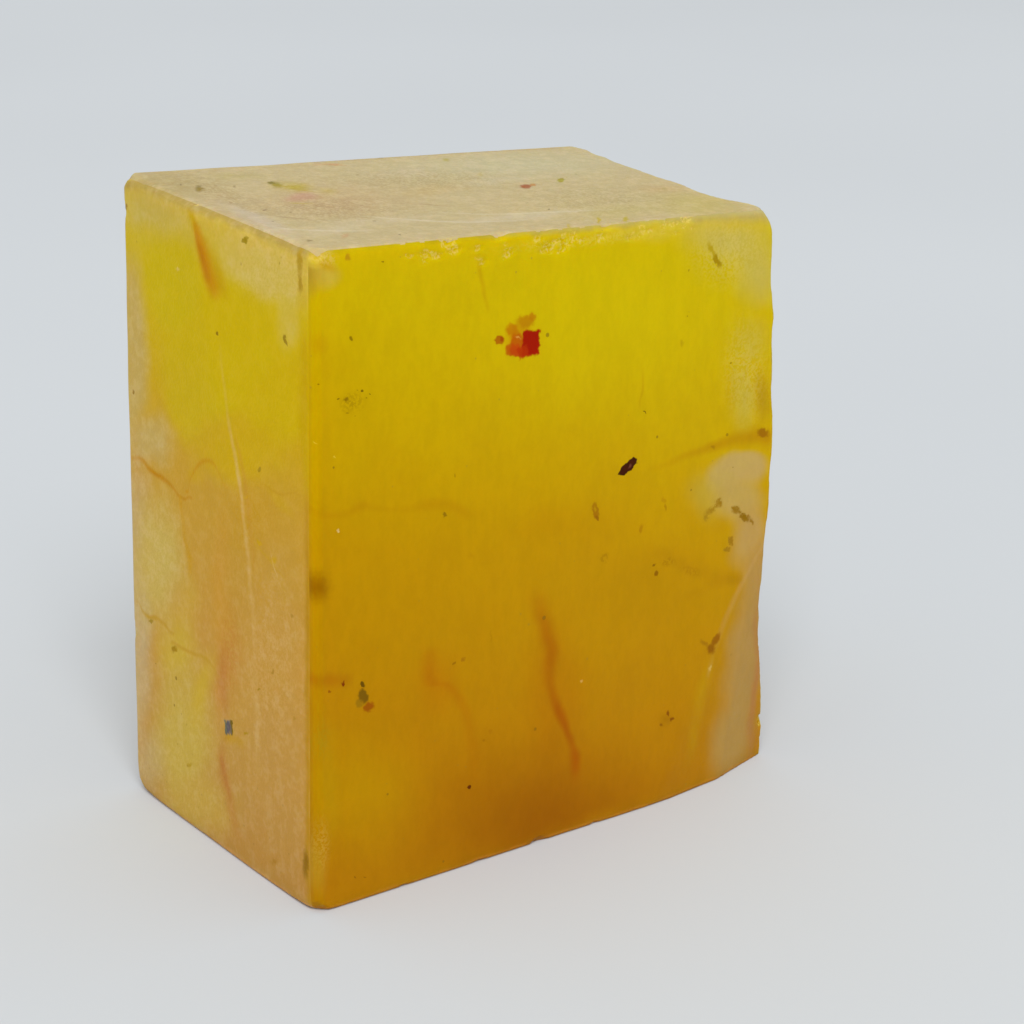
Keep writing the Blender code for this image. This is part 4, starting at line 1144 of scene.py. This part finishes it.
class Finder:
    """Finds where marks in the camera's frame lie on the stone, in the stone's millimetres."""

    def __init__(self):
        self.eye = Vector(EYE)
        self.across, self.above, self.sight = camera_axes()
        self.tree = block_in_millimetres()[1]
        self.planes = {}
        for name, (_, sights) in SEEN.items():
            spots = np.array([self.cast(*sight)[0] for sight in sights])
            middle = spots.mean(axis=0)
            self.planes[name] = (Vector(middle), Vector(np.linalg.svd(spots - middle)[2][2]))

    def way(self, x, y):
        """The way from the camera through a place in its frame."""
        focal = LENS / SENSOR_WIDTH * FRAME_SIDE
        middle = FRAME_SIDE / 2
        return (self.sight + (self.across * (x - middle) - self.above * (y - middle)) / focal).normalized()

    def cast(self, x, y):
        """Where the way through a place in the frame meets the stone, and the surface's way out there."""
        return self.tree.ray_cast(self.eye, self.way(x, y))[:2]

    def on_plane(self, face, x, y):
        """Where the way through a place in the frame meets the face's mean plane, by the face's axes."""
        way = self.way(x, y)
        middle, out = self.planes[face.name]
        spot = self.eye + way * ((middle - self.eye).dot(out) / way.dot(out))
        return by_axes(spot, face.axes)

    def on_face(self, face, x, y):
        """The same on the stone's own surface where that is part of the face, and elsewhere on the plane."""
        spot, out = self.cast(x, y)
        if spot is None or out.dot(Vector(SEEN[face.name][0])) < FACE_ON:
            return self.on_plane(face, x, y)
        return by_axes(spot, face.axes)

    def spread(self, face, x, y):
        """How far a pixel to the right and a pixel up go on the face, as the columns of a square."""
        right = self.on_plane(face, x + 1, y) - self.on_plane(face, x - 1, y)
        up = self.on_plane(face, x, y - 1) - self.on_plane(face, x, y + 1)
        return np.stack((right, up), axis=1) / 2

    def spot(self, face, row):
        """A cloud, fleck or smudge with its place, half sizes and turn on the face."""
        name, place, half, turn, *finish = row
        angle = math.radians(turn)
        turned = np.array(((math.cos(angle), -math.sin(angle)), (math.sin(angle), math.cos(angle))))
        ways, (longer, shorter), _ = np.linalg.svd(self.spread(face, *place) @ turned @ np.diag(half))
        turn = (math.degrees(math.atan2(ways[1, 0], ways[0, 0])) + 90) % 180 - 90
        half = (longer, shorter)
        if longer - shorter < NEARLY_ROUND * longer:
            half = ((longer + shorter) / 2,) * 2
            turn = 0
        elif abs(turn) < NEARLY_STRAIGHT:
            turn = 0
        elif 90 - abs(turn) < NEARLY_STRAIGHT:
            half = (shorter, longer)
            turn = 0
        return name, self.on_face(face, *place), half, turn, *finish

    def vein(self, face, row):
        """A vein with its points and half widths on the face."""
        name, runs, colour, points = row
        along = face.axes.index(runs)
        placed = []
        for x, y, strength, half in points:
            place = self.on_face(face, x, y)
            pixels = np.linalg.inv(self.spread(face, x, y))
            pixels_per_mm = abs(np.linalg.det(pixels)) / np.linalg.norm(pixels[:, along])
            placed.append((place[along], place[1 - along], strength, half / pixels_per_mm))
        return name, runs, colour, placed

    def with_marks(self, face):
        """The face with every mark placed in millimetres, its lines among the veins."""
        if face.name not in SEEN:
            return face
        clouds, flecks, smudges = (
            [self.spot(face, row) for row in rows] for rows in (face.clouds, face.flecks, face.smudges))
        veins = [self.vein(face, row) for row in face.veins] + face.lines
        return face._replace(clouds=clouds, flecks=flecks, smudges=smudges, veins=veins)


class Wiring:
    """Lays nodes in a tree and hands back the sockets that carry their results."""

    ROW = 20
    GAP = (200, 300)

    def __init__(self, tree):
        self.tree = tree
        tree.nodes.clear()

    def node(self, kind, **settings):
        node = self.tree.nodes.new(kind)
        for name, value in settings.items():
            setattr(node, name, value)
        row, column = divmod(len(self.tree.nodes) - 1, self.ROW)
        node.location = (column * self.GAP[0], -row * self.GAP[1])
        return node

    def feed(self, socket, value):
        if isinstance(value, bpy.types.NodeSocket):
            self.tree.links.new(value, socket)
        elif value is not None:
            socket.default_value = value

    def filled(self, kind, values, **settings):
        """A node whose first inputs take these values."""
        node = self.node(kind, **settings)
        for socket, value in zip(node.inputs, values):
            self.feed(socket, value)
        return node

    def math(self, operation, *values, clamp=False):
        return self.filled("ShaderNodeMath", values, operation=operation, use_clamp=clamp).outputs[0]

    def vector(self, operation, *values):
        node = self.filled("ShaderNodeVectorMath", values, operation=operation)
        return node.outputs["Value" if operation in ("LENGTH", "DOT_PRODUCT") else "Vector"]

    def parts(self, vector):
        return self.filled("ShaderNodeSeparateXYZ", (vector,)).outputs[:3]

    def join(self, *values):
        return self.filled("ShaderNodeCombineXYZ", values).outputs[0]

    def cloud(self, place, scale, detail, roughness=0.5):
        """Smooth noise: one value round 0.5, and three of them as a colour."""
        node = self.node("ShaderNodeTexNoise")
        for name, value in zip(("Vector", "Scale", "Detail", "Roughness"), (place, scale, detail, roughness)):
            self.feed(node.inputs[name], value)
        return node.outputs[0], node.outputs[1]

    def cells(self, place, scale):
        """Distance to the nearest of many scattered points, and a random colour for each point."""
        node = self.node("ShaderNodeTexVoronoi")
        self.feed(node.inputs["Vector"], place)
        self.feed(node.inputs["Scale"], scale)
        return node.outputs["Distance"], node.outputs["Color"]

    def slide(self, value, low, high, start=0.0, end=1.0):
        """Goes smoothly from start to end as the value goes from low to high."""
        values = (value, low, high, start, end)
        return self.filled("ShaderNodeMapRange", values, interpolation_type="SMOOTHSTEP").outputs[0]

    def mix(self, factor, first, second):
        node = self.node("ShaderNodeMix", data_type="RGBA")
        for index, value in ((0, factor), (6, first), (7, second)):
            self.feed(node.inputs[index], value)
        return node.outputs[2]

    def ramp(self, value, stops):
        """A colour from a list of heights and colours."""
        low, high = stops[0][0], stops[-1][0]
        place = self.math("MULTIPLY_ADD", value, 1 / (high - low), -low / (high - low))
        node = self.filled("ShaderNodeValToRGB", (place,))
        elements = node.color_ramp.elements
        while len(elements) < len(stops):
            elements.new(0.5)
        for element, (height, colour) in zip(elements, stops):
            element.position = (height - low) / (high - low)
            element.color = tone(*colour)
        return node.outputs[0]

    def noted(self, name):
        """A number stored on the mesh's points."""
        return self.node("ShaderNodeAttribute", attribute_name=name).outputs["Fac"]

    def group(self, tree, *values):
        return self.filled("ShaderNodeGroup", values, node_tree=tree).outputs[0]


def new_group(name, inputs):
    """A node group with these inputs that gives one colour, its wiring and its input sockets."""
    tree = bpy.data.node_groups.new(name, "ShaderNodeTree")
    wiring = Wiring(tree)
    for title, kind in inputs:
        tree.interface.new_socket(title, in_out="INPUT", socket_type="NodeSocket" + kind)
    tree.interface.new_socket("Colour", in_out="OUTPUT", socket_type="NodeSocketColor")
    entry = wiring.node("NodeGroupInput")
    return tree, wiring, entry.outputs[:len(inputs)]


def end_group(wiring, colour):
    wiring.filled("NodeGroupOutput", (colour,))


def turned_reach(wiring, place, centre, along, across):
    """How far a place is from a mark's centre along the mark's own two ways, each counted in half sizes."""
    away = wiring.vector("SUBTRACT", place, centre)
    return wiring.vector("DOT_PRODUCT", away, along), wiring.vector("DOT_PRODUCT", away, across)


TURNED_INPUTS = (
    ("Colour", "Color"), ("Place", "Vector"), ("Centre", "Vector"), ("Along", "Vector"),
    ("Across", "Vector"), ("Core", "Float"), ("Strength", "Float"), ("Shade", "Color"))


def oval_mark_group():
    """Lays a shade over a colour inside an oval turned on a face, fading out at its edge."""
    tree, wiring, given = new_group("turned_mark", TURNED_INPUTS)
    colour, place, centre, along, across, core, strength, shade = given
    reach = wiring.vector("LENGTH", wiring.join(*turned_reach(wiring, place, centre, along, across)))
    mask = wiring.slide(reach, core, 1.0, strength, 0.0)
    end_group(wiring, wiring.mix(mask, colour, shade))
    return tree


def plate_mark_group():
    """Lays a shade over a colour inside a turned oblong with square corners."""
    tree, wiring, given = new_group("plate_mark", TURNED_INPUTS)
    colour, place, centre, along, across, core, strength, shade = given
    reach = wiring.math("MAXIMUM", *(
        wiring.math("ABSOLUTE", part) for part in turned_reach(wiring, place, centre, along, across)))
    mask = wiring.slide(reach, core, 1.0, strength, 0.0)
    end_group(wiring, wiring.mix(mask, colour, shade))
    return tree


def smudge_mark_group():
    """Lays crumbs of a shade over a colour inside a turned oval, thick where the grain is high."""
    tree, wiring, given = new_group("smudge_mark", (*TURNED_INPUTS, ("Grain", "Float")))
    colour, place, centre, along, across, core, strength, shade, grain = given
    reach = wiring.vector("LENGTH", wiring.join(*turned_reach(wiring, place, centre, along, across)))
    mask = wiring.math("MULTIPLY", wiring.slide(reach, core, 1.0, strength, 0.0), grain)
    end_group(wiring, wiring.mix(mask, colour, shade))
    return tree


def level_mark_group():
    """Lays a shade over a colour inside an oval that lies along the face's own ways."""
    tree, wiring, given = new_group("level_mark", (
        ("Colour", "Color"), ("Place", "Vector"), ("Shrink", "Vector"), ("Offset", "Vector"),
        ("Core", "Float"), ("Strength", "Float"), ("Shade", "Color")))
    colour, place, shrink, offset, core, strength, shade = given
    reach = wiring.vector("LENGTH", wiring.vector("MULTIPLY_ADD", place, shrink, offset))
    mask = wiring.slide(reach, core, 1.0, strength, 0.0)
    end_group(wiring, wiring.mix(mask, colour, shade))
    return tree


def line_mark_group():
    """Lays a shade over a colour beside a wandering line; its course holds middle, strength and width."""
    tree, wiring, given = new_group("line_mark", (
        ("Colour", "Color"), ("Course", "Vector"), ("Across", "Float"), ("Low", "Float"),
        ("Span", "Float"), ("Widest", "Float"), ("Shade", "Color")))
    colour, course, across, low, span, widest, shade = given
    middle, strength, width = wiring.parts(course)
    off = wiring.math("SUBTRACT", across, wiring.math("MULTIPLY_ADD", middle, span, low))
    gap = wiring.math("DIVIDE", wiring.math("ABSOLUTE", off), wiring.math("MULTIPLY", width, widest))
    mask = wiring.math("MULTIPLY", wiring.slide(gap, 0.0, 1.0, 1.0, 0.0), strength)
    end_group(wiring, wiring.mix(mask, colour, shade))
    return tree


def touches(low, high, tile, reach):
    """True if a box on a face, widened by this reach, meets the tile."""
    return all(
        side_low - reach < tile_high and side_high + reach > tile_low
        for side_low, side_high, (tile_low, tile_high) in zip(low, high, tile))


def lay_spots(wiring, groups, kind, colour, place, marks, tile, reach, *more):
    """Lays each listed spot that meets the tile over the colour."""
    for _, centre, half, turn, softness, shade, strength in marks:
        if not touches(centre, centre, tile, max(half) + reach):
            continue
        shade = tone(*shade)
        if kind == "turned" and (turn == 0 or half[0] == half[1]):
            shrink = (1 / half[0], 1 / half[1], 0.0)
            offset = (-centre[0] / half[0], -centre[1] / half[1], 0.0)
            colour = wiring.group(
                groups["level"], colour, place, shrink, offset, 1 - softness, strength, shade)
            continue
        cosine, sine = math.cos(math.radians(turn)), math.sin(math.radians(turn))
        along = (cosine / half[0], sine / half[0], 0.0)
        across = (-sine / half[1], cosine / half[1], 0.0)
        colour = wiring.group(
            groups[kind], colour, place, (*centre, 0.0), along, across, 1 - softness, strength, shade, *more)
    return colour


def vein_meets(points, turned, tile, reach):
    """True if a stretch of the vein meets the tile."""
    for (at, off, _, width), (next_at, next_off, _, next_width) in zip(points, points[1:]):
        room = max(width, next_width)
        low = (min(at, next_at), min(off, next_off) - room)
        high = (max(at, next_at), max(off, next_off) + room)
        if turned:
            low, high = low[::-1], high[::-1]
        if touches(low, high, tile, reach):
            return True
    return False


def with_ends(points):
    """The vein's points in order, with one more at each end where it has faded out."""
    points = sorted(points)
    at, off, _, width = points[0]
    last_at, last_off, _, last_width = points[-1]
    first = (at - VEIN_FADE, off, 0.0, width)
    return [first, *points, (last_at + VEIN_FADE, last_off, 0.0, last_width)]


def lay_line(wiring, groups, colour, along, across, shade, points):
    """Lays one vein over the colour, from its points of along, across, strength and half width."""
    start, end = points[0][0], points[-1][0]
    low = min(point[1] for point in points)
    span = max(max(point[1] for point in points) - low, NARROWEST_SPAN)
    widest = max(point[3] for point in points)
    place = wiring.math("MULTIPLY_ADD", along, 1 / (end - start), -start / (end - start), clamp=True)
    node = wiring.node("ShaderNodeRGBCurve")
    wiring.feed(node.inputs["Color"], place)
    for curve, values in zip(node.mapping.curves, (
        [(point[1] - low) / span for point in points],
        [point[2] for point in points],
        [point[3] / widest for point in points],
    )):
        at = [(point[0] - start) / (end - start) for point in points]
        curve.points[0].location = (at[0], values[0])
        curve.points[1].location = (at[-1], values[-1])
        for knot in zip(at[1:-1], values[1:-1]):
            curve.points.new(*knot)
    node.mapping.update()
    return wiring.group(groups["line"], colour, node.outputs[0], across, low, span, widest, shade)


def lay_marks(wiring, face, tile, groups, colour, grain, drift, wander, fray):
    """Lays the marks that meet one tile of a face over its body colour, clouds first and plates last."""
    flat = []
    for moved in (drift, wander, fray):
        parts = dict(zip("xyz", wiring.parts(moved)))
        flat.append([parts[axis] for axis in face.axes])
    colour = lay_spots(
        wiring, groups, "turned", colour, wiring.join(*flat[0]), face.clouds, tile, DRIFT[1] / 2)
    if face.smudges:
        crumbs = wiring.slide(grain, *CRUMB_RANGE)
        colour = lay_spots(
            wiring, groups, "smudge", colour, wiring.join(*flat[2]), face.smudges, tile, FRAY[1] / 2, crumbs)
    for _, runs, shade, points in face.veins:
        points = with_ends(points)
        turned = runs != face.axes[0]
        if vein_meets(points, turned, tile, WANDER[1] / 2):
            along, across = reversed(flat[1]) if turned else flat[1]
            colour = lay_line(wiring, groups, colour, along, across, tone(*shade), points)
    spot_place = wiring.join(*flat[2])
    colour = lay_spots(wiring, groups, "turned", colour, spot_place, face.flecks, tile, FRAY[1] / 2)
    return lay_spots(wiring, groups, "plate", colour, spot_place, face.plates, tile, FRAY[1] / 2)


def shifted(wiring, place, scale, reach):
    """The place moved about by noise, by half this reach at most each way."""
    _, wobble = wiring.cloud(place, scale, 1.0)
    centred = wiring.vector("SUBTRACT", wobble, (0.5, 0.5, 0.5))
    return wiring.vector("MULTIPLY_ADD", centred, (reach, reach, reach), place)


def grey(wiring, value):
    return wiring.join(value, value, value)


def body_colour(wiring, face, place, drift):
    """The face's colour before its marks: one tone, or tones by height that may climb along x."""
    if len(face.body) == 1:
        plain = wiring.node("ShaderNodeRGB")
        plain.outputs[0].default_value = tone(*face.body[0][1])
        return plain.outputs[0]
    height = wiring.parts(drift)[2]
    if face.climb:
        x = wiring.parts(place)[0]
        rise = wiring.math("MULTIPLY_ADD", x, face.climb, -CLIMB_MIDDLE * face.climb)
        height = wiring.math("ADD", height, rise)
    return wiring.ramp(height, face.body)


def strewn_specks(wiring, colour, place, dust_share):
    """Lays many faint specks and a few dark ones over the colour."""
    gap, luck = wiring.cells(place, SPECK_CELLS)
    chance, size, _ = wiring.parts(luck)
    reach = wiring.math("MULTIPLY_ADD", size, *DUST_SIZE)
    dust = wiring.slide(wiring.math("DIVIDE", gap, reach), *DUST_EDGE)
    dust = wiring.math("MULTIPLY", dust, wiring.math("GREATER_THAN", chance, 1 - dust_share))
    colour = wiring.mix(dust, colour, tone(*DUST_COLOUR))
    near = wiring.math("LESS_THAN", gap, wiring.math("MULTIPLY_ADD", size, *SPECK_SIZE))
    speck = wiring.math("MULTIPLY", near, wiring.math("GREATER_THAN", chance, 1 - SPECK_SHARE))
    return wiring.mix(wiring.math("MULTIPLY", speck, SPECK_COVER), colour, tone(*SPECK_COLOUR))


def around_one(wiring, value, range_, share):
    """Goes from a little under 1 to as much over 1 as the value goes through its range."""
    return wiring.slide(value, *range_, 1 - share, 1 + share)


def tile_sides(face, column, row):
    """Where the tile begins and ends along each of the face's axes, with the margin outside it."""
    sides = []
    for axis, count, number in zip(face.axes, face.tiles, (column, row)):
        width = BLOCK_SIZE["xyz".index(axis)] / count
        sides.append((number * width - TILE_MARGIN, (number + 1) * width + TILE_MARGIN))
    return sides


def weather(wiring, face, place, colour, grain, looks):
    """The colour with its mottle, tint and painted light, frost and specks, and the height of the surface's
    fine relief.
    """
    mottle, _ = wiring.cloud(wiring.vector("MULTIPLY", place, (1.0, 1.0, face.stretch)), *MOTTLE_NOISE)
    lighten = around_one(wiring, mottle, MIDDLE, face.mottle)
    lighten = wiring.math("MULTIPLY", lighten, around_one(wiring, grain, MIDDLE, GRAIN_SHADE))
    height = wiring.math("MULTIPLY", grain, face.grain)
    if face.saw:
        saw, _ = wiring.cloud(wiring.vector("MULTIPLY", place, face.saw), *SAW_NOISE)
        height = wiring.math("ADD", saw, height)
        lighten = wiring.math("MULTIPLY", lighten, around_one(wiring, saw, MIDDLE, SAW_SHADE))
    # The face's tint, partly painted light that makes the face lighter or darker for the light it gets
    tint = tuple(getattr(looks, face.gain))
    colour = wiring.vector("MULTIPLY", colour, wiring.vector("MULTIPLY", grey(wiring, lighten), tint))
    if face.frost:
        milky = wiring.slide(wiring.parts(colour)[2], *MILKY_BLUE, CLEAR_FROST * face.frost, face.frost)
        frost = wiring.math("MULTIPLY", wiring.slide(mottle, *FROST_RANGE), milky)
        colour = wiring.mix(frost, colour, (*looks.frost_colour, 1.0))
    return strewn_specks(wiring, colour, place, face.dust), height


def show_chips(wiring, colour, grain, looks):
    """The colour with fresh stone where the skin was chipped, and how fresh it is."""
    worn = wiring.slide(wiring.noted("chip_depth"), *CHIP_DEPTHS)
    fresh = wiring.math("MULTIPLY", worn, wiring.slide(grain, *CHIP_GRAIN))
    colour = wiring.mix(wiring.math("MULTIPLY", fresh, CHIP_COVER), colour, (*looks.chip_colour, 1.0))
    return colour, fresh


def stone_shader(wiring, face, colour, height, grain, fresh, looks):
    """The stone's surface, with light that travels a little way under it."""
    bump = wiring.node("ShaderNodeBump")
    wiring.feed(bump.inputs["Strength"], BUMP_STRENGTH)
    wiring.feed(bump.inputs["Distance"], BUMP_HEIGHT)
    wiring.feed(bump.inputs["Height"], height)
    rough = wiring.math("MULTIPLY_ADD", fresh, -CHIP_POLISH, wiring.slide(grain, *ROUGH_GRAIN, *ROUGHNESS))
    shader = wiring.node("ShaderNodeBsdfPrincipled")
    wiring.feed(shader.inputs["Base Color"], colour)
    wiring.feed(shader.inputs["Roughness"], rough)
    wiring.feed(shader.inputs["Normal"], bump.outputs["Normal"])
    for name, value in (
        ("IOR", SAPPHIRE_IOR),
        ("Specular IOR Level", looks.gloss * face.shine),
        ("Specular Tint", GLOSS_TINT),
        ("Subsurface Weight", looks.glow),
        ("Subsurface Radius", GLOW_SPREAD),
        ("Subsurface Scale", looks.glow_depth),
    ):
        shader.inputs[name].default_value = value
    return shader


def stone_material(face, column, row, groups, looks):
    """Cloudy yellow stone as one tile of a face shows it, by its clouds, veins, flecks, frost and wear."""
    material = bpy.data.materials.new(f"sapphire_{face.name}_{column}_{row}")
    material.use_nodes = True
    wiring = Wiring(material.node_tree)
    spread = wiring.node("ShaderNodeTexCoord").outputs["Object"]
    corner = tuple(-part / MM for part in NEAR_CORNER)
    place = wiring.vector("MULTIPLY_ADD", spread, (1 / MM,) * 3, corner)
    drift, wander, fray = (shifted(wiring, place, *way) for way in (DRIFT, WANDER, FRAY))
    grain, _ = wiring.cloud(place, *GRAIN_NOISE)
    colour = body_colour(wiring, face, place, drift)
    tile = tile_sides(face, column, row)
    colour = lay_marks(wiring, face, tile, groups, colour, grain, drift, wander, fray)
    colour, height = weather(wiring, face, place, colour, grain, looks)
    colour, fresh = show_chips(wiring, colour, grain, looks)
    shader = stone_shader(wiring, face, colour, height, grain, fresh, looks)
    wiring.filled("ShaderNodeOutputMaterial", (shader.outputs["BSDF"],))
    return material


class SAPPHIRE_OT_stone(bpy.types.Operator):
    """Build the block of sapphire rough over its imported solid"""

    bl_idname = "sapphire.stone"
    bl_label = "Sapphire stone"

    def execute(self, context):
        skin, quads, sides, worn = build_skin(context.scene.sapphire_sizes)
        mesh = bpy.data.meshes.new("sapphire_stone")
        world = skin * MM + np.array(NEAR_CORNER)
        mesh.from_pydata(world.tolist(), [], quads.tolist())
        groups = {
            "turned": oval_mark_group(), "level": level_mark_group(), "plate": plate_mark_group(),
            "smudge": smudge_mark_group(), "line": line_mark_group(),
        }
        finder = Finder()
        for face in map(finder.with_marks, FACES):
            for row in range(face.tiles[1]):
                for column in range(face.tiles[0]):
                    mesh.materials.append(
                        stone_material(face, column, row, groups, context.scene.sapphire_looks))
        mesh.polygons.foreach_set("use_smooth", np.ones(len(quads), dtype=bool))
        mesh.polygons.foreach_set("material_index", tile_slots(skin, quads, sides))
        layer = mesh.attributes.new("chip_depth", "FLOAT", "POINT")
        layer.data.foreach_set("value", worn.astype(np.float32))
        if mesh.validate():
            raise RuntimeError("the stone's skin has faulty faces")
        stone = bpy.data.objects.new("sapphire_stone", mesh)
        context.scene.collection.objects.link(stone)
        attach(stone, "root")
        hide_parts(BLOCK_NODE)
        return {"FINISHED"}


def floor_material(colour):
    """Matt pale card with a faint unevenness."""
    material = bpy.data.materials.new("pale_card")
    material.use_nodes = True
    wiring = Wiring(material.node_tree)
    spread = wiring.node("ShaderNodeTexCoord").outputs["Object"]
    cloud, _ = wiring.cloud(spread, *CARD_NOISE)
    lighten = around_one(wiring, cloud, CARD_RANGE, CARD_SHADE)
    shade = wiring.vector("MULTIPLY", tuple(colour), grey(wiring, lighten))
    shader = wiring.node("ShaderNodeBsdfPrincipled")
    wiring.feed(shader.inputs["Base Color"], shade)
    shader.inputs["Roughness"].default_value = CARD_ROUGHNESS
    shader.inputs["Specular IOR Level"].default_value = CARD_GLOSS
    wiring.filled("ShaderNodeOutputMaterial", (shader.outputs["BSDF"],))
    return material


def lay_floor(stage):
    """A square pale floor at the height that the stone stands on."""
    half = stage.floor_size / 2
    corners = [(-half, -half, 0), (half, -half, 0), (half, half, 0), (-half, half, 0)]
    mesh = bpy.data.meshes.new("pale_floor")
    mesh.from_pydata(corners, [], [(0, 1, 2, 3)])
    floor = bpy.data.objects.new("pale_floor", mesh)
    bpy.context.scene.collection.objects.link(floor)
    mesh.materials.append(floor_material(stage.floor_colour))


def light_stage(scene, stage):
    """Even light from all round and one broad soft lamp overhead."""
    world = bpy.data.worlds.new("even_light")
    world.use_nodes = True
    backdrop = world.node_tree.nodes["Background"]
    backdrop.inputs["Color"].default_value = (*stage.sky_colour, 1.0)
    backdrop.inputs["Strength"].default_value = stage.sky_strength
    scene.world = world
    lamp = bpy.data.lights.new("front_softbox", "AREA")
    lamp.shape = "SQUARE"
    lamp.size = stage.softbox_size
    lamp.energy = stage.softbox_power
    lamp.color = stage.sky_colour
    softbox = bpy.data.objects.new("front_softbox", lamp)
    softbox.location = SOFTBOX_PLACE
    softbox.rotation_euler = Vector(SOFTBOX_PLACE).to_track_quat("Z", "Y").to_euler()
    scene.collection.objects.link(softbox)


def place_camera(scene):
    """The camera, with its roll."""
    across, above, sight = camera_axes()
    camera_data = bpy.data.cameras.new("camera")
    camera_data.lens = LENS
    camera_data.sensor_width = SENSOR_WIDTH
    camera_data.clip_start = CLIP_START
    camera_data.clip_end = CLIP_END
    camera = bpy.data.objects.new("camera", camera_data)
    turn = Matrix((across, above, -sight)).transposed().to_4x4()
    camera.matrix_world = Matrix.Translation(Vector(EYE) * MM + NEAR_CORNER) @ turn
    scene.collection.objects.link(camera)
    scene.camera = camera


class SAPPHIRE_OT_stage(bpy.types.Operator):
    """Lay the pale floor, light it softly and set up the camera"""

    bl_idname = "sapphire.stage"
    bl_label = "Stage"

    def execute(self, context):
        scene = context.scene
        scene.view_settings.view_transform = "Standard"
        scene.view_settings.look = "None"
        lay_floor(scene.sapphire_stage)
        light_stage(scene, scene.sapphire_stage)
        place_camera(scene)
        return {"FINISHED"}


class SAPPHIRE_PT_sidebar(bpy.types.Panel):
    """Sapphire block's operators and settings"""

    bl_label = "Rough sapphire"
    bl_idname = "SAPPHIRE_PT_sidebar"
    bl_space_type = "VIEW_3D"
    bl_region_type = "UI"
    bl_category = "Sapphire"

    def draw(self, context):
        layout = self.layout
        for settings in ("sapphire_sizes", "sapphire_looks", "sapphire_stage"):
            group = getattr(context.scene, settings)
            box = layout.box()
            for name in group.__annotations__:
                box.prop(group, name)
        layout.operator(SAPPHIRE_OT_stage.bl_idname)
        layout.operator(SAPPHIRE_OT_stone.bl_idname)


CLASSES = (
    SapphireSizes,
    SapphireLooks,
    SapphireStage,
    SAPPHIRE_OT_stone,
    SAPPHIRE_OT_stage,
    SAPPHIRE_PT_sidebar,
)


def register():
    for cls in CLASSES:
        bpy.utils.register_class(cls)
    bpy.types.Scene.sapphire_sizes = PointerProperty(type=SapphireSizes)
    bpy.types.Scene.sapphire_looks = PointerProperty(type=SapphireLooks)
    bpy.types.Scene.sapphire_stage = PointerProperty(type=SapphireStage)


def unregister():
    del bpy.types.Scene.sapphire_stage
    del bpy.types.Scene.sapphire_looks
    del bpy.types.Scene.sapphire_sizes
    for cls in reversed(CLASSES):
        bpy.utils.unregister_class(cls)


def main():
    register()
    bpy.ops.sapphire.stage()
    bpy.ops.sapphire.stone()
    bpy.context.view_layer.update()


if __name__ == "__main__":
    main()
